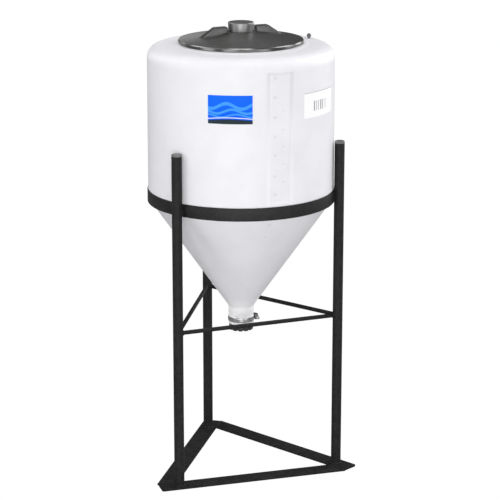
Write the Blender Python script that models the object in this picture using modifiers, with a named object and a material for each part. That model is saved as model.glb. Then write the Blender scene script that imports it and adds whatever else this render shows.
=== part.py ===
"""Cone bottom tank in its welded three-leg stand, for Blender 4.5.

A white moulded plastic tank has a straight barrel, a rounded shoulder, a screw
lid on a short collar and a cone that ends in a narrow outlet neck. It hangs by
its moulded ledge on a flat steel band. Three steel tubes carry the band, round
braces tie them together, and three flat bars make the base.

Units are metres, +Z is up. The floor is z = 0 and the origin is the middle of
the footprint's box. Sizes are worked out from the 24 inch barrel.
"""
import math

import bmesh
import bpy
from mathutils import Matrix, Vector

OBJECT_NAME = "cone_bottom_tank"

# Clearance kept between pieces that touch
GAP = 0.0003

# Points closer than this are one point
MERGE = 0.00005

# Tank shell
WALL = 0.005
BARREL_TOP_RADIUS = 0.3042
BARREL_BASE_RADIUS = 0.3055
SHOULDER_RADIUS = 0.040
TANK_TOP_Z = 1.428
COLLAR_RADIUS = 0.1932
CONE_APEX_Z = 0.490
CONE_HALF_ANGLE = math.radians(35.0)
NECK_RADIUS = 0.0418
NECK_LAND_RADIUS = 0.0427
NECK_LAND_MARGIN = 0.001
NECK_LAND_RAMP = 0.001
NECK_BASE_Z = 0.489

# Lid
LID_RADIUS = 0.2034
LID_SKIRT_Z = 1.434
LID_EDGE_Z = 1.445
LID_SEAT_Z = 1.470
LID_SEAT_RADIUS = 0.045
LID_HOLE_RADIUS = 0.030
LID_EDGE_ROUNDING = 0.002
RIB_START = 0.0492
RIB_SHOULDER = 0.092
RIB_END = 0.139
RIB_TOP_Z = 1.487
RIB_THICKNESS = 0.028
VENT_CAP_RADIUS = 0.042
VENT_CAP_BASE_RADIUS = 0.0405
VENT_CAP_TOP_Z = 1.500
VENT_CAP_ROUNDING = 0.002
VENT_SPIGOT_LENGTH = 0.012

# Tether stud on the tank top
STUD_BALL_RADIUS = 0.0068
STUD_BASE_RADIUS = 0.008
STUD_BASE_HEIGHT = 0.002
STUD_STEM_RADIUS = 0.003
STUD_BALL_CENTRE = 0.0095
STUD_DISTANCE = 0.249
STUD_ANGLE = math.radians(6.0)

# Stand
BAND_TOP_Z = 0.955
BAND_HEIGHT = 0.0415
BAND_OUTER_RADIUS = 0.3078
BAND_THICKNESS = 0.005
LEG_TUBE_RADIUS = 0.0165
LEG_TUBE_WALL = 0.0026
LEG_TUBE_TOP_Z = 1.112
LEG_CAP_TOP_Z = 1.117
LEG_CAP_EDGE = 0.0015
LEG_CAP_SPIGOT = 0.010
BRACE_Z = 0.5285
BRACE_RADIUS = 0.0069
BAR_THICKNESS = 0.006
BAR_WIDTH = 0.060
BAR_DISTANCE = 0.1837
BAR_FREE_END = 0.333
BAR_CORNER_RADIUS = 0.007
BAR_CUT_ANGLE = math.radians(30.0)

# Directions around the tank: -90 degrees is the front
LEG_ANGLES = {"back": 90.0, "front_left": -150.0, "front_right": -30.0}
BAND_MIDDLES = {"front": -90.0, "right": 30.0, "left": 150.0}
QUARTER_MIDDLES = {"front": -90.0, "right": 0.0, "back": 90.0, "left": 180.0}
BRACE_LEGS = {
    "front": ("front_left", "front_right"),
    "right": ("front_right", "back"),
    "left": ("back", "front_left"),
}
BAR_LEGS = {"front": "front_left", "right": "front_right", "left": "back"}

# Outlet fittings
CLAMP_BASE_Z = 0.4975
CLAMP_HEIGHT = 0.0155
CLAMP_STRAP = 0.0009
CLAMP_ANGLE = math.radians(-13.0)
HOUSING_LENGTH = 0.024
HOUSING_DEPTH = 0.0125
SCREW_LINE = 0.0553
SCREW_HEAD_RADIUS = 0.0055
SCREW_HEAD_LENGTH = 0.006
DRAIN_CAP_RADIUS = 0.040
DRAIN_CAP_LOBE_DEPTH = 0.0022
DRAIN_CAP_LOBES = 12
DRAIN_CAP_BASE_Z = 0.467
DRAIN_PLUG_LENGTH = 0.012

# Facets of the round pieces
TANK_FACETS = 96
NECK_FACETS = 48
TUBE_FACETS = 24
ARC_STEPS = 6
SMALL_ARC_STEPS = 4
LOBE_STEPS = 8
SHARP_ANGLE = math.radians(30.0)

# Finishes: colour, roughness, metallic
TANK_PLASTIC = ((0.86, 0.86, 0.87), 0.38, 0.0)
LID_PLASTIC = ((0.10, 0.10, 0.10), 0.42, 0.0)
BLACK_PAINT = ((0.022, 0.022, 0.023), 0.45, 0.0)
BLACK_PLASTIC = ((0.03, 0.03, 0.03), 0.5, 0.0)
STAINLESS = ((0.55, 0.55, 0.56), 0.25, 1.0)

# Sizes that follow from the ones above
STRAIGHT_TOP_Z = TANK_TOP_Z - SHOULDER_RADIUS
BAND_INNER_RADIUS = BAND_OUTER_RADIUS - BAND_THICKNESS
CONE_TOP_RADIUS = BAND_INNER_RADIUS - 2 * GAP
CONE_SLOPE = math.tan(CONE_HALF_ANGLE)
CONE_WALL_ACROSS = WALL / math.cos(CONE_HALF_ANGLE)
CONE_BASE_Z = CONE_APEX_Z + NECK_RADIUS / CONE_SLOPE
COLLAR_INNER_RADIUS = COLLAR_RADIUS - WALL
NECK_INNER_RADIUS = NECK_RADIUS - WALL
CLAMP_INNER_RADIUS = NECK_LAND_RADIUS + GAP
CLAMP_OUTER_RADIUS = CLAMP_INNER_RADIUS + CLAMP_STRAP
CLAMP_TOP_Z = CLAMP_BASE_Z + CLAMP_HEIGHT
CLAMP_MIDDLE_Z = CLAMP_BASE_Z + CLAMP_HEIGHT / 2
LID_SLOPE = (LID_SEAT_Z - LID_EDGE_Z) / (LID_RADIUS - LID_SEAT_RADIUS)
COLLAR_TOP_Z = LID_EDGE_Z + (LID_RADIUS - COLLAR_RADIUS) * LID_SLOPE - WALL - GAP
LEG_DISTANCE = BAND_OUTER_RADIUS + GAP + LEG_TUBE_RADIUS
BAR_TURN = math.acos(BAR_DISTANCE / LEG_DISTANCE)


def clear_scene():
    """Remove every object and every collection that the file holds."""
    for obj in list(bpy.data.objects):
        bpy.data.objects.remove(obj, do_unlink=True)
    for collection in list(bpy.data.collections):
        bpy.data.collections.remove(collection)


def make_collection(name):
    """Return a new collection linked to the scene."""
    collection = bpy.data.collections.new(name)
    bpy.context.scene.collection.children.link(collection)
    return collection


def make_material(name, colour, roughness, metallic):
    """Return a Principled BSDF material."""
    material = bpy.data.materials.new(name)
    material.use_nodes = True
    shader = material.node_tree.nodes["Principled BSDF"]
    shader.inputs["Base Color"].default_value = (*colour, 1.0)
    shader.inputs["Roughness"].default_value = roughness
    shader.inputs["Metallic"].default_value = metallic
    return material


def finished_mesh(name, bm):
    """Turn a bmesh into a mesh and free it."""
    mesh = bpy.data.meshes.new(name)
    bm.to_mesh(mesh)
    bm.free()
    return mesh


def arc(centre, radius, start_deg, end_deg, steps=ARC_STEPS):
    """Return points along an arc in a plane, both ends included."""
    points = []
    for step in range(steps + 1):
        angle = math.radians(start_deg + (end_deg - start_deg) * step / steps)
        points.append((centre[0] + radius * math.cos(angle), centre[1] + radius * math.sin(angle)))
    return points


def polar(distance, angle, z=0.0):
    """Return the point at a distance and an angle from the tank's axis."""
    return Vector((distance * math.cos(angle), distance * math.sin(angle), z))


def seam_shift(sweep):
    """Return how far a part of a ring moves out to leave a gap at its seams."""
    return GAP / (2 * math.sin(sweep / 2))


class Workshop:
    """Makes named objects in one collection, hung from the tank's axis."""

    def __init__(self, collection, axis_point):
        """Keep the collection and place the empty that marks the tank's axis."""
        self.collection = collection
        self.axis = bpy.data.objects.new("tank_axis", None)
        self.axis.location = axis_point
        collection.objects.link(self.axis)

    def place(self, name, mesh, finish, matrix=None):
        """Link a mesh under the tank's axis with a material of its own."""
        mesh.materials.clear()
        mesh.materials.append(make_material(name, *finish))
        mesh.shade_smooth()
        mesh.set_sharp_from_angle(angle=SHARP_ANGLE)
        obj = bpy.data.objects.new(name, mesh)
        self.collection.objects.link(obj)
        obj.parent = self.axis
        if matrix is not None:
            obj.matrix_basis = matrix
        return obj

    def evaluated(self, source):
        """Return a source object's evaluated shape as a bmesh, and remove the source."""
        self.collection.objects.link(source)
        depsgraph = bpy.context.evaluated_depsgraph_get()
        mesh = bpy.data.meshes.new_from_object(source.evaluated_get(depsgraph))
        bpy.data.objects.remove(source, do_unlink=True)
        bm = bmesh.new()
        bm.from_mesh(mesh)
        bpy.data.meshes.remove(mesh)
        bmesh.ops.remove_doubles(bm, verts=bm.verts, dist=MERGE)
        bmesh.ops.recalc_face_normals(bm, faces=bm.faces)
        return bm

    def turned(self, name, section, finish, facets, matrix=None):
        """Turn a closed section, or a line from axis to axis, about Z."""
        profile = bpy.data.meshes.new(name)
        count = len(section)
        starts_on_axis = section[0][0] == 0.0
        last_edge = count - 1 if starts_on_axis else count
        edges = [(index, (index + 1) % count) for index in range(last_edge)]
        profile.from_pydata([(r, 0.0, z) for r, z in section], edges, [])
        source = bpy.data.objects.new(name, profile)
        screw = source.modifiers.new("turn", "SCREW")
        screw.steps = facets
        screw.render_steps = facets
        screw.use_merge_vertices = True
        screw.merge_threshold = MERGE
        bm = self.evaluated(source)
        bpy.data.meshes.remove(profile)
        return self.place(name, finished_mesh(name, bm), finish, matrix)

    def turned_part(self, name, section, finish, middle_deg, sweep):
        """Spin a closed section through part of a turn about Z.

        The piece is moved out along its middle, so that the seams with its
        neighbours stay open by the same small gap from end to end.
        """
        middle = math.radians(middle_deg)
        steps = round(TANK_FACETS * sweep / math.tau)
        start = Matrix.Rotation(middle - sweep / 2, 4, "Z")
        bm = bmesh.new()
        ring = [bm.verts.new(start @ Vector((r, 0.0, z))) for r, z in section]
        face = bm.faces.new(ring)
        geometry = [face, *face.edges, *face.verts]
        bmesh.ops.spin(bm, geom=geometry, cent=(0, 0, 0), axis=(0, 0, 1), angle=sweep, steps=steps)
        bmesh.ops.translate(bm, verts=bm.verts, vec=polar(seam_shift(sweep), middle))
        bmesh.ops.recalc_face_normals(bm, faces=bm.faces)
        return self.place(name, finished_mesh(name, bm), finish)

    def plate(self, name, outline, thickness, finish, matrix):
        """Make a flat plate from an outline in its own XY plane."""
        curve = bpy.data.curves.new(name, "CURVE")
        curve.dimensions = "2D"
        curve.fill_mode = "BOTH"
        curve.extrude = thickness / 2
        spline = curve.splines.new("POLY")
        spline.points.add(len(outline) - 1)
        for point, (x, y) in zip(spline.points, outline):
            point.co = (x, y, 0.0, 1.0)
        spline.use_cyclic_u = True
        bm = self.evaluated(bpy.data.objects.new(name, curve))
        bpy.data.curves.remove(curve)
        return self.place(name, finished_mesh(name, bm), finish, matrix)

    def rod(self, name, radius, start, end, finish, facets=TUBE_FACETS):
        """Make a solid round bar between two points."""
        start = Vector(start)
        end = Vector(end)
        bm = bmesh.new()
        bmesh.ops.create_cone(
            bm,
            cap_ends=True,
            segments=facets,
            radius1=radius,
            radius2=radius,
            depth=(end - start).length,
        )
        turn = (end - start).to_track_quat("Z", "Y").to_matrix().to_4x4()
        matrix = Matrix.Translation((start + end) / 2) @ turn
        return self.place(name, finished_mesh(name, bm), finish, matrix)

    def fuse(self, piece, other):
        """Join another solid into a piece with a union, and remove the other."""
        union = piece.modifiers.new("union", "BOOLEAN")
        union.operation = "UNION"
        union.solver = "EXACT"
        union.object = other
        depsgraph = bpy.context.evaluated_depsgraph_get()
        mesh = bpy.data.meshes.new_from_object(piece.evaluated_get(depsgraph))
        piece.modifiers.clear()
        material = piece.data.materials[0]
        piece.data = mesh
        mesh.materials.clear()
        mesh.materials.append(material)
        bpy.data.objects.remove(other, do_unlink=True)


def build_barrel(shop):
    """Barrel in four quarters, each with its share of the ledge on the band."""
    ledge_z = BAND_TOP_Z + GAP
    section = [
        (BARREL_TOP_RADIUS, STRAIGHT_TOP_Z),
        (BARREL_BASE_RADIUS, ledge_z),
        (CONE_TOP_RADIUS - WALL, ledge_z),
        (CONE_TOP_RADIUS - WALL, ledge_z + WALL),
        (BARREL_BASE_RADIUS - WALL, ledge_z + 2 * WALL),
        (BARREL_TOP_RADIUS - WALL, STRAIGHT_TOP_Z),
    ]
    for side, middle in QUARTER_MIDDLES.items():
        shop.turned_part(f"barrel_{side}", section, TANK_PLASTIC, middle, math.tau / 4)


def build_cone(shop):
    """Cone in four quarters, with the upright strip that the band holds."""
    outer_corner_z = CONE_APEX_Z + CONE_TOP_RADIUS / CONE_SLOPE
    inner_corner_z = CONE_APEX_Z + (CONE_TOP_RADIUS - WALL + CONE_WALL_ACROSS) / CONE_SLOPE
    base_z = CONE_BASE_Z + GAP
    base_radius = (base_z - CONE_APEX_Z) * CONE_SLOPE
    section = [
        (CONE_TOP_RADIUS, BAND_TOP_Z),
        (CONE_TOP_RADIUS, outer_corner_z),
        (base_radius, base_z),
        (base_radius - CONE_WALL_ACROSS, base_z),
        (CONE_TOP_RADIUS - WALL, inner_corner_z),
        (CONE_TOP_RADIUS - WALL, BAND_TOP_Z),
    ]
    for side, middle in QUARTER_MIDDLES.items():
        shop.turned_part(f"cone_{side}", section, TANK_PLASTIC, middle, math.tau / 4)


def build_top(shop):
    """Rounded shoulder with the flat top, and the collar under the lid."""
    base_z = STRAIGHT_TOP_Z + GAP
    arc_centre = (BARREL_TOP_RADIUS - SHOULDER_RADIUS, STRAIGHT_TOP_Z)
    outer = arc(arc_centre, SHOULDER_RADIUS, 90.0, 0.0)
    inner = arc(arc_centre, SHOULDER_RADIUS - WALL, 0.0, 90.0)
    outer[-1] = (BARREL_TOP_RADIUS, base_z)
    inner[0] = (BARREL_TOP_RADIUS - WALL, base_z)
    section = [
        (COLLAR_INNER_RADIUS, TANK_TOP_Z),
        *outer,
        *inner,
        (COLLAR_INNER_RADIUS, TANK_TOP_Z - WALL),
    ]
    shop.turned("tank_top", section, TANK_PLASTIC, TANK_FACETS)
    collar = [
        (COLLAR_RADIUS, COLLAR_TOP_Z),
        (COLLAR_RADIUS, TANK_TOP_Z + GAP),
        (COLLAR_INNER_RADIUS, TANK_TOP_Z + GAP),
        (COLLAR_INNER_RADIUS, COLLAR_TOP_Z),
    ]
    shop.turned("manway_collar", collar, TANK_PLASTIC, TANK_FACETS)


def build_neck(shop):
    """Outlet neck, with the raised land that carries the clamp."""
    land_top = CLAMP_TOP_Z + NECK_LAND_MARGIN
    land_base = CLAMP_BASE_Z - NECK_LAND_MARGIN
    section = [
        (NECK_RADIUS, CONE_BASE_Z),
        (NECK_RADIUS, land_top + NECK_LAND_RAMP),
        (NECK_LAND_RADIUS, land_top),
        (NECK_LAND_RADIUS, land_base),
        (NECK_RADIUS, land_base - NECK_LAND_RAMP),
        (NECK_RADIUS, NECK_BASE_Z),
        (NECK_INNER_RADIUS, NECK_BASE_Z),
        (NECK_INNER_RADIUS, CONE_BASE_Z),
    ]
    shop.turned("outlet_neck", section, TANK_PLASTIC, NECK_FACETS)


def lid_top_z(distance):
    """Return the height of the lid's sloping top at a distance from the axis."""
    return LID_EDGE_Z + (LID_RADIUS - distance) * LID_SLOPE


def build_lid(shop):
    """Sloping lid with a short skirt, and the two hand ribs on it."""
    edge = LID_EDGE_ROUNDING
    under_z = LID_SEAT_Z - WALL
    section = [
        (LID_HOLE_RADIUS, LID_SEAT_Z),
        (LID_SEAT_RADIUS, LID_SEAT_Z),
        (LID_RADIUS - edge, lid_top_z(LID_RADIUS - edge)),
        (LID_RADIUS, LID_EDGE_Z - edge),
        (LID_RADIUS, LID_SKIRT_Z),
        (LID_RADIUS - WALL, LID_SKIRT_Z),
        (LID_RADIUS - WALL, lid_top_z(LID_RADIUS - WALL) - WALL),
        (LID_SEAT_RADIUS, under_z),
        (LID_HOLE_RADIUS, under_z),
    ]
    shop.turned("lid_plate", section, LID_PLASTIC, TANK_FACETS)
    outline = [
        (RIB_START, lid_top_z(RIB_START) + GAP),
        (RIB_END, lid_top_z(RIB_END) + GAP),
        (RIB_SHOULDER, RIB_TOP_Z),
        (RIB_START, RIB_TOP_Z),
    ]
    upright = Matrix.Rotation(math.pi / 2, 4, "X")
    for side, turn in (("right", 0.0), ("left", math.pi)):
        matrix = Matrix.Rotation(turn, 4, "Z") @ upright
        shop.plate(f"lid_rib_{side}", outline, RIB_THICKNESS, LID_PLASTIC, matrix)


def build_vent_cap(shop):
    """Vent cap with slightly drawn-in sides and a spigot through the lid."""
    corner = (VENT_CAP_RADIUS - VENT_CAP_ROUNDING, VENT_CAP_TOP_Z - VENT_CAP_ROUNDING)
    spigot_radius = LID_HOLE_RADIUS - GAP
    base_z = LID_SEAT_Z + GAP
    line = [
        (0.0, VENT_CAP_TOP_Z),
        *arc(corner, VENT_CAP_ROUNDING, 90.0, 0.0, SMALL_ARC_STEPS),
        (VENT_CAP_BASE_RADIUS, base_z),
        (spigot_radius, base_z),
        (spigot_radius, LID_SEAT_Z - VENT_SPIGOT_LENGTH),
        (0.0, LID_SEAT_Z - VENT_SPIGOT_LENGTH),
    ]
    shop.turned("vent_cap", line, LID_PLASTIC, NECK_FACETS)


def build_tether_stud(shop):
    """Small ball stud that stands on the tank top, for the lid's tether."""
    base_z = TANK_TOP_Z + GAP
    ball_z = base_z + STUD_BALL_CENTRE
    join_deg = math.degrees(math.asin(STUD_STEM_RADIUS / STUD_BALL_RADIUS))
    ball = arc((0.0, ball_z), STUD_BALL_RADIUS, 90.0, join_deg - 90.0, 2 * SMALL_ARC_STEPS)
    line = [
        (0.0, ball_z + STUD_BALL_RADIUS),
        *ball[1:],
        (STUD_STEM_RADIUS, base_z + STUD_BASE_HEIGHT),
        (STUD_BASE_RADIUS, base_z + STUD_BASE_HEIGHT),
        (STUD_BASE_RADIUS, base_z),
        (0.0, base_z),
    ]
    matrix = Matrix.Translation(polar(STUD_DISTANCE, STUD_ANGLE))
    shop.turned("tether_stud", line, BLACK_PLASTIC, TUBE_FACETS, matrix)


def build_legs(shop):
    """Upright tubes that stand on the base bars, each with a domed plug."""
    inner = LEG_TUBE_RADIUS - LEG_TUBE_WALL
    tube = [
        (LEG_TUBE_RADIUS, LEG_TUBE_TOP_Z),
        (LEG_TUBE_RADIUS, BAR_THICKNESS + GAP),
        (inner, BAR_THICKNESS + GAP),
        (inner, LEG_TUBE_TOP_Z),
    ]
    seat_z = LEG_TUBE_TOP_Z + GAP
    spigot = inner - GAP
    dome_height = LEG_CAP_TOP_Z - seat_z - LEG_CAP_EDGE
    dome = [
        (radius, seat_z + LEG_CAP_EDGE + dome_height * rise / LEG_TUBE_RADIUS)
        for radius, rise in arc((0.0, 0.0), LEG_TUBE_RADIUS, 90.0, 0.0)
    ]
    cap = [
        (0.0, LEG_CAP_TOP_Z),
        *dome[1:],
        (LEG_TUBE_RADIUS, seat_z),
        (spigot, seat_z),
        (spigot, seat_z - LEG_CAP_SPIGOT),
        (0.0, seat_z - LEG_CAP_SPIGOT),
    ]
    for side, angle_deg in LEG_ANGLES.items():
        angle = math.radians(angle_deg)
        matrix = Matrix.Translation(polar(LEG_DISTANCE, angle)) @ Matrix.Rotation(angle, 4, "Z")
        shop.turned(f"leg_{side}", tube, BLACK_PAINT, TUBE_FACETS, matrix)
        shop.turned(f"leg_cap_{side}", cap, BLACK_PLASTIC, TUBE_FACETS, matrix)


def build_band(shop):
    """Flat band in three arcs, which meet behind the legs."""
    section = [
        (BAND_OUTER_RADIUS, BAND_TOP_Z),
        (BAND_OUTER_RADIUS, BAND_TOP_Z - BAND_HEIGHT),
        (BAND_INNER_RADIUS, BAND_TOP_Z - BAND_HEIGHT),
        (BAND_INNER_RADIUS, BAND_TOP_Z),
    ]
    for side, middle in BAND_MIDDLES.items():
        shop.turned_part(f"band_{side}", section, BLACK_PAINT, middle, math.tau / 3)


def build_braces(shop):
    """Round braces from leg to leg, one on each side of the stand."""
    for side, (first, second) in BRACE_LEGS.items():
        start = polar(LEG_DISTANCE, math.radians(LEG_ANGLES[first]), BRACE_Z)
        end = polar(LEG_DISTANCE, math.radians(LEG_ANGLES[second]), BRACE_Z)
        inset = (end - start).normalized() * (LEG_TUBE_RADIUS + GAP)
        shop.rod(f"brace_{side}", BRACE_RADIUS, start + inset, end - inset, BLACK_PAINT)


def bar_outline():
    """Return a base bar's outline: x runs along it, y away from the axis.

    The leg stands near the free end at positive x. The other end is cut at
    a slant, so that it butts the inner edge of the next bar.
    """
    inner = BAR_DISTANCE - BAR_WIDTH / 2
    outer = BAR_DISTANCE + BAR_WIDTH / 2
    reach = inner - GAP
    butt_inner = (reach + inner * math.sin(BAR_CUT_ANGLE)) / math.cos(BAR_CUT_ANGLE)
    butt_outer = (reach + outer * math.sin(BAR_CUT_ANGLE)) / math.cos(BAR_CUT_ANGLE)
    radius = BAR_CORNER_RADIUS
    corner = BAR_FREE_END - radius
    return [
        (-butt_outer, outer),
        (-butt_inner, inner),
        *arc((corner, inner + radius), radius, 270.0, 360.0, SMALL_ARC_STEPS),
        *arc((corner, outer - radius), radius, 0.0, 90.0, SMALL_ARC_STEPS),
    ]


def bar_matrix(leg_angle):
    """Return the placing of the base bar that carries the leg at an angle."""
    turn = Matrix.Rotation(leg_angle + BAR_TURN - math.pi / 2, 4, "Z")
    return Matrix.Translation((0, 0, BAR_THICKNESS / 2)) @ turn


def build_base(shop):
    """Three flat bars that follow one another around the footprint."""
    for side, leg in BAR_LEGS.items():
        matrix = bar_matrix(math.radians(LEG_ANGLES[leg]))
        shop.plate(f"base_bar_{side}", bar_outline(), BAR_THICKNESS, BLACK_PAINT, matrix)


def build_clamp(shop):
    """Worm clamp around the neck, with its housing and screw head."""
    strap = [
        (CLAMP_OUTER_RADIUS, CLAMP_TOP_Z),
        (CLAMP_OUTER_RADIUS, CLAMP_BASE_Z),
        (CLAMP_INNER_RADIUS, CLAMP_BASE_Z),
        (CLAMP_INNER_RADIUS, CLAMP_TOP_Z),
    ]
    shop.turned("clamp_strap", strap, STAINLESS, NECK_FACETS)
    near = CLAMP_OUTER_RADIUS + GAP
    far = near + HOUSING_DEPTH
    half_length = HOUSING_LENGTH / 2
    outline = [(near, -half_length), (far, -half_length), (far, 0.0), (near, half_length)]
    turn = Matrix.Rotation(CLAMP_ANGLE, 4, "Z")
    matrix = Matrix.Translation((0, 0, CLAMP_MIDDLE_Z)) @ turn
    shop.plate("clamp_housing", outline, CLAMP_HEIGHT, STAINLESS, matrix)
    head_near = -half_length - GAP
    head_start = turn @ Vector((SCREW_LINE, head_near - SCREW_HEAD_LENGTH, CLAMP_MIDDLE_Z))
    head_end = turn @ Vector((SCREW_LINE, head_near, CLAMP_MIDDLE_Z))
    shop.rod("clamp_screw", SCREW_HEAD_RADIUS, head_start, head_end, STAINLESS)


def build_drain_cap(shop):
    """Lobed cap with a plug that stands in the neck."""
    top_z = NECK_BASE_Z - GAP
    height = top_z - DRAIN_CAP_BASE_Z
    middle_z = DRAIN_CAP_BASE_Z + height / 2
    steps = DRAIN_CAP_LOBES * LOBE_STEPS
    outline = []
    for step in range(steps):
        angle = math.tau * step / steps
        dip = DRAIN_CAP_LOBE_DEPTH * (1 - abs(math.cos(angle * DRAIN_CAP_LOBES / 2)))
        radius = DRAIN_CAP_RADIUS - dip
        outline.append((radius * math.cos(angle), radius * math.sin(angle)))
    matrix = Matrix.Translation((0, 0, middle_z))
    cap = shop.plate("drain_cap", outline, height, BLACK_PLASTIC, matrix)
    plug_radius = NECK_INNER_RADIUS - GAP
    plug_top = (0, 0, top_z + DRAIN_PLUG_LENGTH)
    plug = shop.rod("drain_plug", plug_radius, (0, 0, middle_z), plug_top, BLACK_PLASTIC, NECK_FACETS)
    shop.fuse(cap, plug)


def footprint():
    """Return the middle of the footprint's box, measured from the tank's axis."""
    points = [Vector((0.0, -BAND_OUTER_RADIUS - seam_shift(math.tau / 3), 0.0))]
    for angle_deg in LEG_ANGLES.values():
        matrix = bar_matrix(math.radians(angle_deg))
        points += [matrix @ Vector((x, y, 0.0)) for x, y in bar_outline()]
    xs = [point.x for point in points]
    ys = [point.y for point in points]
    return Vector(((min(xs) + max(xs)) / 2, (min(ys) + max(ys)) / 2, 0.0))


def main():
    """Build every piece of the tank and its stand."""
    clear_scene()
    shop = Workshop(make_collection(OBJECT_NAME), -footprint())
    build_barrel(shop)
    build_cone(shop)
    build_top(shop)
    build_neck(shop)
    build_lid(shop)
    build_vent_cap(shop)
    build_tether_stud(shop)
    build_legs(shop)
    build_band(shop)
    build_braces(shop)
    build_base(shop)
    build_clamp(shop)
    build_drain_cap(shop)


main()
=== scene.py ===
"""Looks of a cone bottom tank in its stand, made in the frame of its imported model.

Lengths are in metres and angles in degrees. +Z is up and -Y is the front.
A profile's points are a distance from an upright axis and a height.
"""

import logging
import math
from dataclasses import dataclass
from enum import Enum
from typing import Any, Callable, Dict, List, Optional, Sequence, Tuple, Union

import bmesh
import bpy
from mathutils import Matrix, Vector


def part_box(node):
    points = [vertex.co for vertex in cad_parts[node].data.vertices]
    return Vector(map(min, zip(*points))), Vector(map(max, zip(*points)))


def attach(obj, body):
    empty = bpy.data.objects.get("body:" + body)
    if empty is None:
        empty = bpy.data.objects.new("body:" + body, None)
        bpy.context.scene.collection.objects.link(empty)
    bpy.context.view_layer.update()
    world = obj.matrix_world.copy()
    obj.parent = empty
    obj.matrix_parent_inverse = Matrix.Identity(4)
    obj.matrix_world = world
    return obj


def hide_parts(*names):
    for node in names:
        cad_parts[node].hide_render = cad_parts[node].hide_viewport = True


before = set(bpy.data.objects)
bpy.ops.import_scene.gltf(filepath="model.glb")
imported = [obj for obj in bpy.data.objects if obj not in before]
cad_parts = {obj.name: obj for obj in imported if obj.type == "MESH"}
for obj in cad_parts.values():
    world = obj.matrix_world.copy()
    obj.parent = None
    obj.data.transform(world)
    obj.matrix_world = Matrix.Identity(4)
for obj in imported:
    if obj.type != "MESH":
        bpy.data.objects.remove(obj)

LOG = logging.getLogger("tank")
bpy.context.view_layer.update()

# The gap between touching pieces, the merging distance and the least step of a drawn line
GAP = 0.0003
MERGE = 0.00002
NUDGE = 0.0001

FULL_TURN = 360.0
UP = Vector((0.0, 0.0, 1.0))

Colour = Tuple[float, float, float]
Spot = Tuple[float, float]
Corner = Tuple[float, float, float]
PickTest = Callable[[Vector, Vector], bool]
Stretch = Tuple[float, int]
Value = Union[float, int, Sequence[float], "Wire"]


def axis_foot() -> Vector:
    """Return the point of the floor under the tank's upright axis, from the lid's box.

    Returns:
        The foot of the axis.
    """
    low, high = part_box("lid_plate")
    return Vector(((low.x + high.x) / 2, (low.y + high.y) / 2, 0.0))


AXIS = axis_foot()


def polar(distance: float, angle: float, height: float = 0.0) -> Vector:
    """Return a point by its distance and angle from the tank's axis.

    Args:
        distance: Distance from the axis.
        angle: Angle from +X, anticlockwise from above.
        height: Height over the floor.

    Returns:
        The point.
    """
    turn = math.radians(angle)
    return AXIS + Vector((distance * math.cos(turn), distance * math.sin(turn), height))


def angle_of(point: Vector) -> float:
    """Return a point's angle round the tank's axis, from -180 to 180."""
    return math.degrees(math.atan2(point.y - AXIS.y, point.x - AXIS.x))


def reach_of(point: Vector) -> float:
    """Return a point's distance from the tank's axis."""
    return math.hypot(point.x - AXIS.x, point.y - AXIS.y)


def rounded(corners: Sequence[Corner], steps: int = 5) -> List[Spot]:
    """Round the inner corners of a line of straight stretches.

    Args:
        corners: Each corner's two coordinates and its rounding radius.
        steps: Short edges in each rounding.

    Returns:
        The points of the rounded line.
    """
    line = [tuple(corners[0][:2])]
    for before, corner, after in zip(corners, corners[1:], corners[2:]):
        here = Vector(corner[:2])
        back = (Vector(before[:2]) - here).normalized()
        onward = (Vector(after[:2]) - here).normalized()
        radius = corner[2]
        if radius == 0.0:
            line.append(tuple(here))
            continue
        half = back.angle(onward) / 2
        middle = here + (back + onward).normalized() * radius / math.sin(half)
        first = here + back * radius / math.tan(half) - middle
        last = here + onward * radius / math.tan(half) - middle
        start = math.atan2(first.y, first.x)
        sweep = math.remainder(math.atan2(last.y, last.x) - start, math.tau)
        for step in range(steps + 1):
            turn = start + sweep * step / steps
            line.append((middle.x + radius * math.cos(turn), middle.y + radius * math.sin(turn)))
    line.append(tuple(corners[-1][:2]))
    return line


def ring_section(
    outer: float, inner: float, low: float, high: float, foot: float, rim: float
) -> List[Spot]:
    """Return the closed section of a ring or a tube, from the middle of its underside.

    Args:
        outer: Its outer radius.
        inner: Its inner radius.
        low: Height of its underside.
        high: Height of its top.
        foot: Rounding of the two lower edges.
        rim: Rounding of the two upper edges.

    Returns:
        The section's points.
    """
    middle = ((outer + inner) / 2, low, 0.0)
    corners = [
        middle,
        (outer, low, foot),
        (outer, high, rim),
        (inner, high, rim),
        (inner, low, foot),
        middle,
    ]
    return rounded(corners, steps=3)


def about_axis(turn: float) -> Matrix:
    """Return the move that turns a piece round the tank's axis by an angle in degrees."""
    spin = Matrix.Rotation(math.radians(turn), 4, "Z")
    return Matrix.Translation(AXIS) @ spin @ Matrix.Translation(-AXIS)


class Body(Enum):
    """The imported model's two bodies."""

    TANK = "tank_and_stand"
    LID = "lid"


class Slot(Enum):
    """The record's material slots."""

    TANK_PLASTIC = "tank_plastic"
    LID_PLASTIC = "lid_plastic"
    BLACK_PAINT = "black_paint"
    BLACK_PLASTIC = "black_plastic"
    STAINLESS = "stainless"


class Pick(Enum):
    """What a selection is made of."""

    POINTS = "VERT"
    EDGES = "EDGE"
    FACES = "FACE"


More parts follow.
